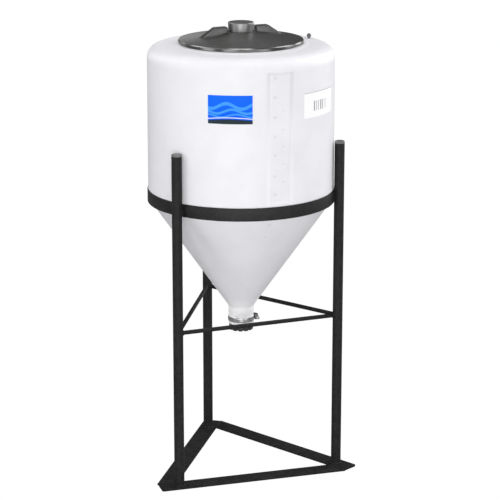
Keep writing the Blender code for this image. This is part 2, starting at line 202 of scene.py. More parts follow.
class Bench:
    """Blender's modelling operators, used on one piece at a time."""

    @staticmethod
    def clear() -> None:
        """Leave edit mode and deselect every object."""
        if bpy.context.object and bpy.context.object.mode != "OBJECT":
            bpy.ops.object.mode_set(mode="OBJECT")
        bpy.ops.object.select_all(action="DESELECT")

    @classmethod
    def hold(cls, piece: bpy.types.Object) -> None:
        """Select one object alone, and make it the active one."""
        cls.clear()
        piece.select_set(True)
        bpy.context.view_layer.objects.active = piece

    @staticmethod
    def settle() -> None:
        """Put the object's place into its mesh and open it in edit mode, all selected."""
        bpy.ops.object.transform_apply(location=True, rotation=True, scale=True)
        bpy.ops.object.mode_set(mode="EDIT")
        bpy.ops.mesh.select_mode(type=Pick.POINTS.value)
        bpy.ops.mesh.select_all(action="SELECT")

    @staticmethod
    def mend() -> None:
        """Merge doubles and turn every face outwards, with the volume as the proof."""
        bpy.ops.mesh.select_all(action="SELECT")
        bpy.ops.mesh.remove_doubles(threshold=MERGE)
        bpy.ops.mesh.normals_make_consistent(inside=False)
        mesh = bmesh.from_edit_mesh(bpy.context.object.data)
        closed = all(edge.is_manifold for edge in mesh.edges)
        if closed and mesh.calc_volume(signed=True) < 0.0:
            bpy.ops.mesh.flip_normals()

    @classmethod
    def line(cls, points: Sequence[Vector]) -> None:
        """Draw a chain of edges point by point, and stay in edit mode.

        Args:
            points: The chain's points in order.
        """
        cls.clear()
        bpy.ops.mesh.primitive_plane_add(size=0.01, location=points[0])
        cls.settle()
        bpy.ops.mesh.merge(type="CENTER")
        for before, point in zip(points, points[1:]):
            bpy.ops.mesh.extrude_region_move(TRANSFORM_OT_translate={"value": point - before})
        bpy.ops.mesh.select_all(action="SELECT")

    @classmethod
    def turn(
        cls,
        profile: Sequence[Spot],
        centre: Vector,
        stretches: Sequence[Stretch],
        start: float = 0.0,
    ) -> None:
        """Spin a profile round an upright axis, and stay in edit mode.

        Args:
            profile: Distances and heights along the section.
            centre: A point of the axis, with the height that the profile counts from.
            stretches: The angle and the number of steps of each spin.
            start: Angle at which the first spin begins.
        """
        aim = Vector((math.cos(math.radians(start)), math.sin(math.radians(start)), 0.0))
        cls.line([centre + aim * reach + UP * height for reach, height in profile])
        for sweep, steps in stretches:
            bpy.ops.mesh.spin(
                steps=steps, angle=math.radians(sweep), center=centre, axis=(0, 0, -1)
            )
        cls.mend()

    @classmethod
    def lathe(cls, profile: Sequence[Spot], centre: Vector, columns: int) -> None:
        """Spin a profile the whole way round an upright axis, and stay in edit mode."""
        cls.turn(profile, centre, ((FULL_TURN, columns),))

    @classmethod
    def slab(cls, plan: Sequence[Spot], low: float, tall: float) -> None:
        """Draw a plan and raise it to a slab, and stay in edit mode.

        Args:
            plan: The plan's corners.
            low: Height of its underside.
            tall: Its height over that.
        """
        cls.line([Vector((x, y, low)) for x, y in plan])
        bpy.ops.mesh.edge_face_add()
        bpy.ops.mesh.extrude_region_move(TRANSFORM_OT_translate={"value": (0.0, 0.0, tall)})
        cls.mend()

    @classmethod
    def drum(cls, start: Vector, end: Vector, radius: float, sides: int) -> None:
        """Add a cylinder from one point to another, and open it in edit mode.

        Args:
            start: Middle of the first end.
            end: Middle of the other end.
            radius: Its radius.
            sides: Its number of sides.
        """
        cls.clear()
        run = end - start
        bpy.ops.mesh.primitive_cylinder_add(
            vertices=sides,
            radius=radius,
            depth=run.length,
            location=(start + end) / 2,
            rotation=run.to_track_quat("Z", "Y").to_euler(),
        )
        cls.settle()

    @staticmethod
    def pick(kind: Pick, test: PickTest) -> None:
        """Select the points, edges or faces that pass a test.

        Args:
            kind: What is selected.
            test: Takes an element's middle, and its normal or an edge's direction.
        """
        bpy.ops.mesh.select_mode(type=kind.value)
        bpy.ops.mesh.select_all(action="DESELECT")
        mesh = bmesh.from_edit_mesh(bpy.context.object.data)
        if kind is Pick.POINTS:
            chosen = [point for point in mesh.verts if test(point.co, point.normal)]
        elif kind is Pick.EDGES:
            chosen = []
            for edge in mesh.edges:
                start, end = (point.co for point in edge.verts)
                if test((start + end) / 2, (end - start).normalized()):
                    chosen.append(edge)
        else:
            chosen = [face for face in mesh.faces if test(face.calc_center_median(), face.normal)]
        for element in chosen:
            element.select_set(True)
        mesh.select_flush_mode()
        bmesh.update_edit_mesh(bpy.context.object.data)

    @staticmethod
    def stretch(value: Corner, centre: Vector, grain: Optional[Matrix] = None) -> None:
        """Scale what is selected about a point.

        Args:
            value: The scale along each direction.
            centre: The point that stays.
            grain: The three directions, as columns. Without it they are X, Y and Z.
        """
        bpy.ops.transform.resize(
            value=value,
            orient_type="GLOBAL",
            orient_matrix=grain or Matrix.Identity(3),
            orient_matrix_type="GLOBAL",
            center_override=centre,
        )

    @staticmethod
    def cut(place: Vector, normal: Vector, clear: bool = True) -> None:
        """Cut the whole mesh by a plane.

        Args:
            place: A point of the plane.
            normal: The plane's normal. What lies that way goes when clear is set.
            clear: Whether that side is removed and the opening filled.
        """
        bpy.ops.mesh.select_all(action="SELECT")
        bpy.ops.mesh.bisect(
            plane_co=place, plane_no=normal, use_fill=clear, clear_outer=clear
        )

    @classmethod
    def done(cls, name: str, crease: float = 35.0) -> bpy.types.Object:
        """Finish the piece that is open in edit mode.

        Args:
            name: The piece's name.
            crease: Edges sharper than this angle stay sharp.

        Returns:
            The finished object.
        """
        cls.mend()
        bpy.ops.object.mode_set(mode="OBJECT")
        bpy.ops.object.shade_smooth_by_angle(angle=math.radians(crease))
        piece = bpy.context.object
        piece.name = name
        piece.data.name = name
        cls.clear()
        return piece

    @classmethod
    def placed(cls, piece: bpy.types.Object, matrix: Matrix) -> bpy.types.Object:
        """Move a finished piece, with its place kept in its mesh.

        Args:
            piece: The piece.
            matrix: Its move.

        Returns:
            The same piece.
        """
        cls.hold(piece)
        piece.matrix_world = matrix
        bpy.ops.object.transform_apply(location=True, rotation=True, scale=True)
        cls.clear()
        return piece

    @classmethod
    def copy(cls, piece: bpy.types.Object, name: str, matrix: Matrix) -> bpy.types.Object:
        """Copy a finished piece with its mesh to another place.

        Args:
            piece: The piece to copy.
            name: The copy's name.
            matrix: The copy's move from the first place.

        Returns:
            The copy.
        """
        cls.hold(piece)
        bpy.ops.object.duplicate(linked=False)
        twin = bpy.context.object
        twin.name = name
        twin.data.name = name
        return cls.placed(twin, matrix)

    @classmethod
    def joined(cls, pieces: Sequence[bpy.types.Object], name: str) -> bpy.types.Object:
        """Join pieces into one object.

        Args:
            pieces: The pieces.
            name: The name of the whole.

        Returns:
            The joined object.
        """
        cls.clear()
        for piece in pieces:
            piece.select_set(True)
        bpy.context.view_layer.objects.active = pieces[0]
        bpy.ops.object.join()
        whole = bpy.context.object
        whole.name = name
        whole.data.name = name
        cls.clear()
        return whole


class Wire:
    """A shader value that Python's own operators work on."""

    def __init__(self, shade: "Shade", socket: bpy.types.NodeSocket) -> None:
        """Wrap an output socket of a material's nodes."""
        self.shade = shade
        self.socket = socket

    def _math(self, operation: str, left: Value, right: Value) -> "Wire":
        """Return the result of a Math node on two values."""
        node = self.shade.add("ShaderNodeMath", {"operation": operation}, {0: left, 1: right})
        return Wire(self.shade, node.outputs[0])

    def __add__(self, other: Value) -> "Wire":
        """Return this plus a value."""
        return self._math("ADD", self, other)

    def __radd__(self, other: Value) -> "Wire":
        """Return a value plus this."""
        return self._math("ADD", other, self)

    def __sub__(self, other: Value) -> "Wire":
        """Return this minus a value."""
        return self._math("SUBTRACT", self, other)

    def __rsub__(self, other: Value) -> "Wire":
        """Return a value minus this."""
        return self._math("SUBTRACT", other, self)

    def __mul__(self, other: Value) -> "Wire":
        """Return this times a value."""
        return self._math("MULTIPLY", self, other)

    def __rmul__(self, other: Value) -> "Wire":
        """Return a value times this."""
        return self._math("MULTIPLY", other, self)

    def __gt__(self, other: Value) -> "Wire":
        """Return 1 where this is above a value, else 0."""
        return self._math("GREATER_THAN", self, other)

    def __lt__(self, other: Value) -> "Wire":
        """Return 1 where this is below a value, else 0."""
        return self._math("LESS_THAN", self, other)

    def sine(self) -> "Wire":
        """Return the sine of this, in radians."""
        return self._math("SINE", self, 0.0)

    def size(self) -> "Wire":
        """Return this without its sign."""
        return self._math("ABSOLUTE", self, 0.0)

    def rise(self, low: float, high: float) -> "Wire":
        """Return a smooth step from 0 at low to 1 at high.

        Args:
            low: Where it is 0.
            high: Where it is 1.

        Returns:
            The step.
        """
        node = self.shade.add(
            "ShaderNodeMapRange",
            {"interpolation_type": "SMOOTHSTEP"},
            {"Value": self, "From Min": low, "From Max": high},
        )
        return Wire(self.shade, node.outputs[0])


class Shade:
    """The nodes of one material under work."""

    def __init__(self, name: str) -> None:
        """Start a material with its output and its surface shader."""
        self.material = bpy.data.materials.new(name)
        self.material.use_nodes = True
        self.tree = self.material.node_tree
        self.tree.nodes.clear()
        self.surface = self.add("ShaderNodeBsdfPrincipled")
        output = self.add("ShaderNodeOutputMaterial")
        self.tree.links.new(self.surface.outputs[0], output.inputs[0])

    def add(
        self,
        kind: str,
        settings: Optional[Dict[str, Any]] = None,
        inputs: Optional[Dict[Any, Value]] = None,
    ) -> bpy.types.Node:
        """Add a node.

        Args:
            kind: The node's type.
            settings: Its settings, which are set first.
            inputs: The values or links of its sockets, by name or place.

        Returns:
            The node.
        """
        node = self.tree.nodes.new(kind)
        for name, value in (settings or {}).items():
            setattr(node, name, value)
        self.feed(node, inputs or {})
        return node

    def feed(self, node: bpy.types.Node, inputs: Dict[Any, Value]) -> None:
        """Set or link a node's sockets.

        Args:
            node: The node.
            inputs: The values or links, by the socket's name or place.
        """
        for key, value in inputs.items():
            if isinstance(value, Wire):
                self.tree.links.new(value.socket, node.inputs[key])
            else:
                node.inputs[key].default_value = value

    def place(self, centre: Vector = Vector(), scale: Corner = (1.0, 1.0, 1.0)) -> Wire:
        """Return Object coordinates, counted from a point and scaled.

        Args:
            centre: The point that they are counted from.
            scale: The scale along each direction.

        Returns:
            The coordinates.
        """
        source = self.add("ShaderNodeTexCoord")
        shift = tuple(-middle * factor for middle, factor in zip(centre, scale))
        mapping = self.add(
            "ShaderNodeMapping",
            {},
            {"Vector": Wire(self, source.outputs["Object"]), "Location": shift, "Scale": scale},
        )
        return Wire(self, mapping.outputs[0])

    def sheet_place(self) -> Tuple[Wire, Wire]:
        """Return the piece's own two UV coordinates.

        Returns:
            The coordinate along the sheet, and the one up it.
        """
        source = self.add("ShaderNodeTexCoord")
        split = self.add("ShaderNodeSeparateXYZ", {}, {0: Wire(self, source.outputs["UV"])})
        return Wire(self, split.outputs[0]), Wire(self, split.outputs[1])

    def distance(self, place: Wire) -> Wire:
        """Return the distance from the upright axis of centred coordinates.

        Args:
            place: Coordinates counted from the axis.

        Returns:
            The distance.
        """
        flat = self.add(
            "ShaderNodeVectorMath", {"operation": "MULTIPLY"}, {0: place, 1: (1.0, 1.0, 0.0)}
        )
        length = self.add(
            "ShaderNodeVectorMath", {"operation": "LENGTH"}, {0: Wire(self, flat.outputs[0])}
        )
        return Wire(self, length.outputs["Value"])

    def noise(self, place: Wire, scale: float, detail: float = 2.0) -> Wire:
        """Return a cloudy pattern from 0 to 1.

        Args:
            place: The coordinates.
            scale: Clouds in a metre.
            detail: Finer layers in it.

        Returns:
            The pattern.
        """
        node = self.add(
            "ShaderNodeTexNoise", {}, {"Vector": place, "Scale": scale, "Detail": detail}
        )
        return Wire(self, node.outputs["Fac"])

    def blend(self, factor: Value, first: Value, second: Value) -> Wire:
        """Return a mix of two colours.

        Args:
            factor: The second colour's share.
            first: The first colour, or a link.
            second: The second colour, or a link.

        Returns:
            The mixed colour.
        """
        colours = [
            value if isinstance(value, Wire) else (*value, 1.0) for value in (first, second)
        ]
        node = self.add(
            "ShaderNodeMix", {"data_type": "RGBA"}, {0: factor, 6: colours[0], 7: colours[1]}
        )
        return Wire(self, node.outputs[2])

    def bump(self, height: Wire, depth: float, under: Optional[Wire] = None) -> Wire:
        """Return a normal for a relief.

        Args:
            height: The relief, from 0 to 1.
            depth: Its depth in metres.
            under: A normal that it lies on.

        Returns:
            The normal.
        """
        inputs: Dict[Any, Value] = {"Height": height, "Distance": depth}
        if under:
            inputs["Normal"] = under
        return Wire(self, self.add("ShaderNodeBump", {}, inputs).outputs[0])

    def finish(self, **inputs: Value) -> bpy.types.Material:
        """Set the surface shader's sockets and return the material.

        Args:
            inputs: The sockets' values or links, with _ for a space.

        Returns:
            The material.
        """
        self.feed(self.surface, {name.replace("_", " "): value for name, value in inputs.items()})
        return self.material


@dataclass(frozen=True)
class TankPlastic:
    """White moulded plastic: faintly clouded, with a fine peel and a slow sway, and painted light on
    the neck.
    """

    slot: Slot = Slot.TANK_PLASTIC
    clear_tint: Colour = (0.86, 0.855, 0.885)
    cloud_tint: Colour = (0.83, 0.825, 0.86)
    neck_painted_light: Colour = (0.95, 0.945, 0.965)
    grime: Colour = (0.62, 0.61, 0.6)
    grime_share: float = 0.3
    neck_light_reach: Spot = (0.075, 0.046)
    cloud_scale: float = 9.0
    speck_scale: float = 90.0
    smear_scale: float = 34.0
    smear_stretch: Corner = (1.0, 1.0, 0.25)
    sway_scale: float = 10.0
    sway_depth: float = 0.0008
    peel_scale: float = 380.0
    peel_depth: float = 0.00006
    roughness: float = 0.43
    cloud_roughness: float = 0.1
    grime_roughness: float = 0.12

    def material(self) -> bpy.types.Material:
        """Return the material."""
        shade = Shade("white_moulded_plastic")
        place = shade.place()
        cloud = shade.noise(place, self.cloud_scale, detail=3.0)
        speck = shade.noise(place, self.speck_scale, detail=4.0)
        smear = shade.noise(shade.place(scale=self.smear_stretch), self.smear_scale, detail=5.0)
        colour = shade.blend(cloud.rise(0.35, 0.65), self.clear_tint, self.cloud_tint)
        # Painted light: the colour turns paler near the axis, so the neck looks brighter.
        neck = shade.distance(shade.place(AXIS)).rise(*self.neck_light_reach)
        colour = shade.blend(neck, colour, self.neck_painted_light)
        dirt = smear.rise(0.6, 0.78) * speck.rise(0.4, 0.7)
        colour = shade.blend(dirt * self.grime_share, colour, self.grime)
        sway = shade.bump(shade.noise(place, self.sway_scale, detail=1.0), self.sway_depth)
        peel = shade.bump(shade.noise(place, self.peel_scale, detail=2.0), self.peel_depth, sway)
        return shade.finish(
            Base_Color=colour,
            Roughness=self.roughness + self.cloud_roughness * cloud + self.grime_roughness * dirt,
            Normal=peel,
            IOR=1.5,
        )


@dataclass(frozen=True)
class LidPlastic:
    """Dark grey moulded plastic with a fine grain and faint turning rings."""

    slot: Slot = Slot.LID_PLASTIC
    dark: Colour = (0.034, 0.035, 0.033)
    pale: Colour = (0.056, 0.058, 0.055)
    cloud_scale: float = 24.0
    cloud_share: float = 0.6
    streak_scale: float = 130.0
    ring_pitch: float = 0.0026
    ring_depth: float = 0.00003
    grain_scale: float = 640.0
    grain_depth: float = 0.00006
    roughness: float = 0.27
    streak_roughness: float = 0.12
    rim: float = 0.1995
    rim_polish: float = 0.12
    gloss: float = 1.9

    def material(self) -> bpy.types.Material:
        """Return the material."""
        shade = Shade("grey_lid_plastic")
        place = shade.place(AXIS)
        cloud = shade.noise(place, self.cloud_scale, detail=4.0)
        grain = shade.noise(place, self.grain_scale, detail=3.0)
        streak = shade.noise(place, self.streak_scale, detail=5.0)
        reach = shade.distance(place)
        rings = (reach * (math.tau / self.ring_pitch)).sine()
        paleness = cloud.rise(0.3, 0.7) * self.cloud_share + (1.0 - self.cloud_share) * streak
        under = shade.bump(rings * 0.5 + 0.5, self.ring_depth)
        polish = (reach > self.rim) * self.rim_polish
        return shade.finish(
            Base_Color=shade.blend(paleness, self.dark, self.pale),
            Roughness=self.roughness + self.streak_roughness * streak - polish,
            Normal=shade.bump(grain, self.grain_depth, under),
            IOR=self.gloss,
        )


@dataclass(frozen=True)
class BlackPaint:
    """Satin black paint on hot rolled steel, mottled and a little scuffed."""

    slot: Slot = Slot.BLACK_PAINT
    deep: Colour = (0.006, 0.006, 0.0062)
    worn: Colour = (0.017, 0.017, 0.0176)
    scuff: Colour = (0.05, 0.049, 0.048)
    scuff_share: float = 0.6
    mottle_scale: float = 62.0
    mottle_share: float = 0.65
    mottle_depth: float = 0.0002
    patch_scale: float = 15.0
    fleck_scale: float = 210.0
    fleck_depth: float = 0.00006
    roughness: float = 0.55
    mottle_roughness: float = 0.22
    gloss: float = 0.3

    def material(self) -> bpy.types.Material:
        """Return the material."""
        shade = Shade("satin_black_paint")
        place = shade.place()
        mottle = shade.noise(place, self.mottle_scale, detail=5.0)
        patch = shade.noise(place, self.patch_scale, detail=3.0)
        fleck = shade.noise(place, self.fleck_scale, detail=6.0)
        wear = mottle.rise(0.36, 0.66) * self.mottle_share + (1.0 - self.mottle_share) * patch
        colour = shade.blend(wear, self.deep, self.worn)
        scuffs = fleck.rise(0.66, 0.74) * patch.rise(0.5, 0.7)
        colour = shade.blend(scuffs * self.scuff_share, colour, self.scuff)
        under = shade.bump(mottle, self.mottle_depth)
        return shade.finish(
            Base_Color=colour,
            Roughness=self.roughness + self.mottle_roughness * mottle,
            Normal=shade.bump(fleck, self.fleck_depth, under),
            IOR=1.48,
            Specular_IOR_Level=self.gloss,
        )


@dataclass(frozen=True)
class BlackPlastic:
    """Black moulded plastic with a soft sheen."""

    slot: Slot = Slot.BLACK_PLASTIC
    deep: Colour = (0.012, 0.012, 0.012)
    pale: Colour = (0.03, 0.03, 0.03)
    cloud_scale: float = 70.0
    grain_scale: float = 700.0
    grain_depth: float = 0.00005
    roughness: float = 0.3
    cloud_roughness: float = 0.16

    def material(self) -> bpy.types.Material:
        """Return the material."""
        shade = Shade("black_moulded_plastic")
        place = shade.place()
        cloud = shade.noise(place, self.cloud_scale, detail=4.0)
        grain = shade.noise(place, self.grain_scale, detail=3.0)
        return shade.finish(
            Base_Color=shade.blend(cloud.rise(0.3, 0.75), self.deep, self.pale),
            Roughness=self.roughness + self.cloud_roughness * cloud,
            Normal=shade.bump(grain, self.grain_depth),
            IOR=1.5,
        )


@dataclass(frozen=True)
class Stainless:
    """Bright strip steel, brushed along the strip."""

    slot: Slot = Slot.STAINLESS
    bright: Colour = (0.45, 0.45, 0.46)
    dull: Colour = (0.28, 0.28, 0.28)
    spot_scale: float = 160.0
    spot_share: float = 0.7
    brush_scale: Corner = (40.0, 40.0, 2400.0)
    brush_depth: float = 0.000003
    roughness: float = 0.28
    brush_roughness: float = 0.1

    def material(self) -> bpy.types.Material:
        """Return the material."""
        shade = Shade("bright_stainless")
        brush = shade.noise(shade.place(scale=self.brush_scale), 1.0, detail=3.0)
        spot = shade.noise(shade.place(), self.spot_scale, detail=4.0)
        return shade.finish(
            Base_Color=shade.blend(spot.rise(0.5, 0.8) * self.spot_share, self.bright, self.dull),
            Metallic=1.0,
            Roughness=self.roughness + self.brush_roughness * brush,
            Normal=shade.bump(brush, self.brush_depth),
        )


@dataclass(frozen=True)
class LabelFilm:
    """Printed blue film: pale waves over a dark foot, with a white edge."""

    slot: Slot = Slot.TANK_PLASTIC
    blue: Colour = (0.0, 0.12, 0.98)
    pale_blue: Colour = (0.07, 0.38, 1.0)
    slate: Colour = (0.021, 0.036, 0.045)
    white: Colour = (0.85, 0.86, 0.88)
    waves: Tuple[Corner, ...] = ((0.62, 0.09, 0.05), (0.44, 0.07, 0.035), (0.3, 0.05, 0.02))
    wave_count: float = 1.5
    wave_edge: float = 0.012
    wave_share: float = 0.85
    fade_share: float = 0.1
    arch_rise: float = 0.05
    arch_top: float = 0.185
    arch_half: float = 0.014
    foot_top: float = 0.13
    blur: float = 0.002
    foot_blur: float = 0.005
    half_width: float = 0.488
    half_height: float = 0.481
    grain_scale: float = 900.0
    grain_depth: float = 0.00002
    roughness: float = 0.5
    grain_roughness: float = 0.1

    def material(self) -> bpy.types.Material:
        """Return the material."""
        shade = Shade("blue_label_film")
        along, up = shade.sheet_place()
        grain = shade.noise(shade.place(), self.grain_scale, detail=2.0)
        colour = shade.blend(up.rise(0.0, 1.1) * self.fade_share, self.blue, self.pale_blue)
        for height, swing, width in self.waves:
            wave = (along * (self.wave_count * math.tau) + height * math.tau).sine() * swing
            band = (up - wave - height).size().rise(width + self.wave_edge, width)
            colour = shade.blend(band * self.wave_share, colour, self.pale_blue)
        arch = up - (along * math.pi).sine() * self.arch_rise
        line = (arch - self.arch_top).size()
        line = line.rise(self.arch_half + self.blur, self.arch_half - self.blur)
        colour = shade.blend(line, colour, self.white)
        foot = arch.rise(self.foot_top + self.foot_blur, self.foot_top - self.foot_blur)
        colour = shade.blend(foot, colour, self.slate)
        edge = ((along - 0.5).size() > self.half_width) + ((up - 0.5).size() > self.half_height)
        colour = shade.blend(edge.rise(0.4, 0.6), colour, self.white)
        return shade.finish(
            Base_Color=colour,
            Roughness=self.roughness + self.grain_roughness * grain,
            Normal=shade.bump(grain, self.grain_depth),
            Specular_IOR_Level=0.1,
        )


@dataclass(frozen=True)
class LabelPaper:
    """White paper sticker with a plain group of grey bars and a painted shadow along its top edge.
    """

    slot: Slot = Slot.TANK_PLASTIC
    white: Colour = (0.99, 0.99, 1.0)
    grey: Colour = (0.33, 0.32, 0.35)
    edge_painted_shadow: Colour = (0.42, 0.42, 0.43)
    bars_along: Spot = (0.27, 0.75)
    bars_up: Spot = (0.25, 0.64)
    wide_bars: float = 92.0
    thin_bars: float = 211.0
    thin_share: float = 0.6
    fade_along: Spot = (0.47, 0.85)
    fade_share: float = 0.7
    edge_start: float = 0.972
    edge_share: float = 0.8
    grain_scale: float = 700.0
    grain_depth: float = 0.00002
    roughness: float = 0.5
    grain_roughness: float = 0.1

    def material(self) -> bpy.types.Material:
        """Return the material."""
        shade = Shade("white_paper_sticker")
        along, up = shade.sheet_place()
        grain = shade.noise(shade.place(), self.grain_scale, detail=4.0)
        ripple = (along * self.wide_bars).sine() + (along * self.thin_bars).sine() * self.thin_share
        bars = ripple.rise(0.15, 0.3)
        group = (along > self.bars_along[0]) * (along < self.bars_along[1])
        group = group * (up > self.bars_up[0]) * (up < self.bars_up[1])
        fade = 1.0 - along.rise(*self.fade_along) * self.fade_share
        colour = shade.blend(bars * group * fade, self.white, self.grey)
        # Painted shadow: a darker grey line along the sticker's top edge.
        colour = shade.blend((up > self.edge_start) * self.edge_share, colour, self.edge_painted_shadow)
        return shade.finish(
            Base_Color=colour,
            Roughness=self.roughness + self.grain_roughness * grain,
            Normal=shade.bump(grain, self.grain_depth),
        )


Finish = Union[TankPlastic, LidPlastic, BlackPaint, BlackPlastic, Stainless, LabelFilm, LabelPaper]


class Finisher:
    """Dresses finished pieces and hands them to the frame."""

    def __init__(self) -> None:
        """Start with no material made."""
        self.made: Dict[Finish, bpy.types.Material] = {}

    def hand_over(
        self, piece: bpy.types.Object, finish: Finish, body: Body, nodes: Sequence[str] = ()
    ) -> None:
        """Dress a piece, let it ride on its body, and report it.

        Args:
            piece: The finished piece.
            finish: Its finish.
            body: The body that it moves with.
            nodes: The model's nodes that it stands for.
        """
        if finish not in self.made:
            self.made[finish] = finish.material()
        piece.data.materials.clear()
        piece.data.materials.append(self.made[finish])
        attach(piece, body.value)
        if nodes:
            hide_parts(*nodes)
        LOG.info("%s: %d faces, on %s", piece.name, len(piece.data.polygons), body.value)


@dataclass
class TankMoulding:
    """The white tank: neck, cone, ledge, barrel with its gauge panel, shoulder and collar."""

    wall: float = 0.005
    neck_radius: float = 0.0418
    neck_base: float = 0.489
    land_radius: float = 0.0427
    land_base: float = 0.4965
    land_top: float = 0.514
    land_ramp: float = 0.001
    neck_rounding: float = 0.0008
    neck_ridges: Tuple[float, ...] = (0.5185, 0.5255)
    neck_ridge_height: float = 0.0006
    neck_ridge_half: float = 0.0016
    neck_fillet: float = 0.019
    cone_apex: float = 0.490
    cone_half_angle: float = 35.0
    cone_top_radius: float = 0.3022
    cone_rounding: float = 0.012
    cone_seam: float = 0.6056
    seam_height: float = 0.0003
    seam_half: float = 0.0015
    support: float = 0.0065
    ledge: float = 0.9553
    ledge_corner: float = 0.0005
    ledge_rounding: float = 0.0024
    barrel_base_radius: float = 0.3055
    barrel_top_radius: float = 0.3042
    straight_top: float = 1.388
    shoulder_radius: float = 0.040
    top: float = 1.428
    boss_foot: float = 0.222
    boss_foot_rounding: float = 0.012
    boss_radius: float = 0.2075
    boss_rounding: float = 0.004
    boss_top: float = 1.4331
    collar_radius: float = 0.1932
    collar_top: float = 1.4413
    collar_rounding: float = 0.001
    inner_top_rounding: float = 0.002
    inner_cone_rounding: float = 0.01
    inner_neck_rounding: float = 0.004
    sides: Tuple[str, ...] = ("front", "right", "back", "left")
    panel_start: float = -96.0
    panel_sweep: float = 17.5
    panel_base: float = 0.9645
    panel_top: float = 1.3825
    panel_step: float = 0.0006
    panel_slope: float = 0.0018
    panel_columns: int = 12
    round_columns: int = 180
    gallon_marks: Tuple[Tuple[str, float], ...] = (
        ("50", 1.3645),
        ("45", 1.3048),
        ("40", 1.2416),
        ("35", 1.1797),
        ("30", 1.1205),
        ("25", 1.0531),
        ("20", 0.995),
    )
    tick_marks: Tuple[float, ...] = (1.2615, 1.2024, 1.1468, 1.0923, 1.0343)
    cone_marks: Tuple[Tuple[str, float, float], ...] = (("15", -93.0, 0.893), ("10", -93.0, 0.845))
    gallon_angle: float = -90.55
    tick_angle: float = -85.02
    number_size: float = 0.012
    number_relief: float = 0.0006
    tick_size: Spot = (0.009, 0.0022)

    def cone_radius(self, height: float) -> float:
        """Return the cone's outer radius at a height."""
        return (height - self.cone_apex) * math.tan(math.radians(self.cone_half_angle))

    def cone_height(self, radius: float) -> float:
        """Return the height at which the cone has a radius."""
        return self.cone_apex + radius / math.tan(math.radians(self.cone_half_angle))

    def barrel_radius(self, height: float) -> float:
        """Return the barrel's outer radius at a height of its straight part.

        Args:
            height: The height.

        Returns:
            The radius.
        """
        share = (height - self.ledge) / (self.straight_top - self.ledge)
        return self.barrel_base_radius + share * (self.barrel_top_radius - self.barrel_base_radius)

    def neck_and_cone(self) -> List[Corner]:
        """Return the outside from the neck's foot to the top of the cone.

        Returns:
            The corners with their roundings.
        """
        neck = self.neck_radius
        corners: List[Corner] = [
            (neck - self.wall / 2, self.neck_base, 0.0),
            (neck, self.neck_base, self.neck_rounding),
            (neck, self.land_base - self.land_ramp, 0.0),
            (self.land_radius, self.land_base, 0.0),
            (self.land_radius, self.land_top, 0.0),
            (neck, self.land_top + self.land_ramp, 0.0),
        ]
        for height in self.neck_ridges:
            corners.append((neck, height - self.neck_ridge_half, 0.0))
            corners.append((neck + self.neck_ridge_height, height, self.neck_rounding))
            corners.append((neck, height + self.neck_ridge_half, 0.0))
        cone_base, cone_top = self.cone_height(neck), self.cone_height(self.cone_top_radius)
        corners.append((neck, self.neck_ridges[-1] + self.support, 0.0))
        corners.append((neck, cone_base - self.support, 0.0))
        corners.append((neck, cone_base, self.neck_fillet))
        seam = self.cone_seam
        for height in (cone_base + self.support, seam - self.support, seam - self.seam_half):
            corners.append((self.cone_radius(height), height, 0.0))
        corners.append((self.cone_radius(seam) + self.seam_height, seam - self.seam_height, 0.0))
        for height in (seam + self.seam_half, seam + self.support, cone_top - self.support):
            corners.append((self.cone_radius(height), height, 0.0))
        corners.append((self.cone_top_radius, cone_top, self.cone_rounding))
        return corners

    def barrel_and_collar(self) -> List[Corner]:
        """Return the outside from the ledge to the collar's rim.

        Returns:
            The corners with their roundings.
        """
        return [
            (self.cone_top_radius, self.ledge, self.ledge_corner),
            (self.barrel_base_radius, self.ledge, self.ledge_rounding),
            (self.barrel_radius(self.panel_base), self.panel_base, 0.0),
            (self.barrel_radius(self.panel_top), self.panel_top, 0.0),
            (self.barrel_top_radius, self.top, self.shoulder_radius),
            (self.boss_foot, self.top, self.boss_foot_rounding),
            (self.boss_radius, self.boss_top, self.boss_rounding),
            (self.collar_radius, self.boss_top, self.collar_rounding),
            (self.collar_radius, self.collar_top, self.collar_rounding),
        ]

    def inside(self) -> List[Corner]:
        """Return the inside from the collar's rim down to the neck's foot.

        Returns:
            The corners with their roundings.
        """
        wall = self.wall
        inner_top = self.top - wall
        cone_inner = self.cone_top_radius - wall
        neck_inner = self.neck_radius - wall
        lift = wall / math.sin(math.radians(self.cone_half_angle))
        cone_top = self.cone_height(self.cone_top_radius) + lift - wall
        return [
            (self.collar_radius - wall, self.collar_top, self.collar_rounding),
            (self.collar_radius - wall, inner_top, self.inner_top_rounding),
            (self.barrel_top_radius - wall, inner_top, self.shoulder_radius - wall),
            (self.barrel_base_radius - wall, self.ledge + wall, 0.0),
            (cone_inner, self.ledge - wall, 0.0),
            (cone_inner, cone_top, self.inner_cone_rounding),
            (neck_inner, self.cone_height(neck_inner) + lift, self.inner_neck_rounding),
            (neck_inner, self.neck_base, self.neck_rounding),
        ]

    def outline(self) -> List[Spot]:
        """Return the moulding's closed section, up the outside and down the inside.

        Returns:
            The section's points.
        """
        corners = self.neck_and_cone() + self.barrel_and_collar() + self.inside()
        return rounded([*corners, corners[0]], steps=6)

    def panel_middle(self) -> float:
        """Return the angle of the gauge panel's middle."""
        return self.panel_start + self.panel_sweep / 2

    def panel_grain(self) -> Matrix:
        """Return the gauge panel's directions: outwards, along and up.

        Returns:
            The directions as columns.
        """
        lean = (self.barrel_base_radius - self.barrel_top_radius) / (self.straight_top - self.ledge)
        outward = (polar(1.0, self.panel_middle()) - AXIS + UP * lean).normalized()
        along = UP.cross(outward).normalized()
        return Matrix((outward, along, outward.cross(along))).transposed()

    def panel_point(self, angle: float, height: float) -> Vector:
        """Return a point of the gauge panel's flat.

        Args:
            angle: Its angle round the tank.
            height: Its height.

        Returns:
            The point.
        """
        half = math.radians(self.panel_sweep / 2)
        flat = self.barrel_radius(height) * math.cos(half) - self.panel_step
        away = math.radians(angle - self.panel_middle())
        return polar(flat / math.cos(away), angle, height)

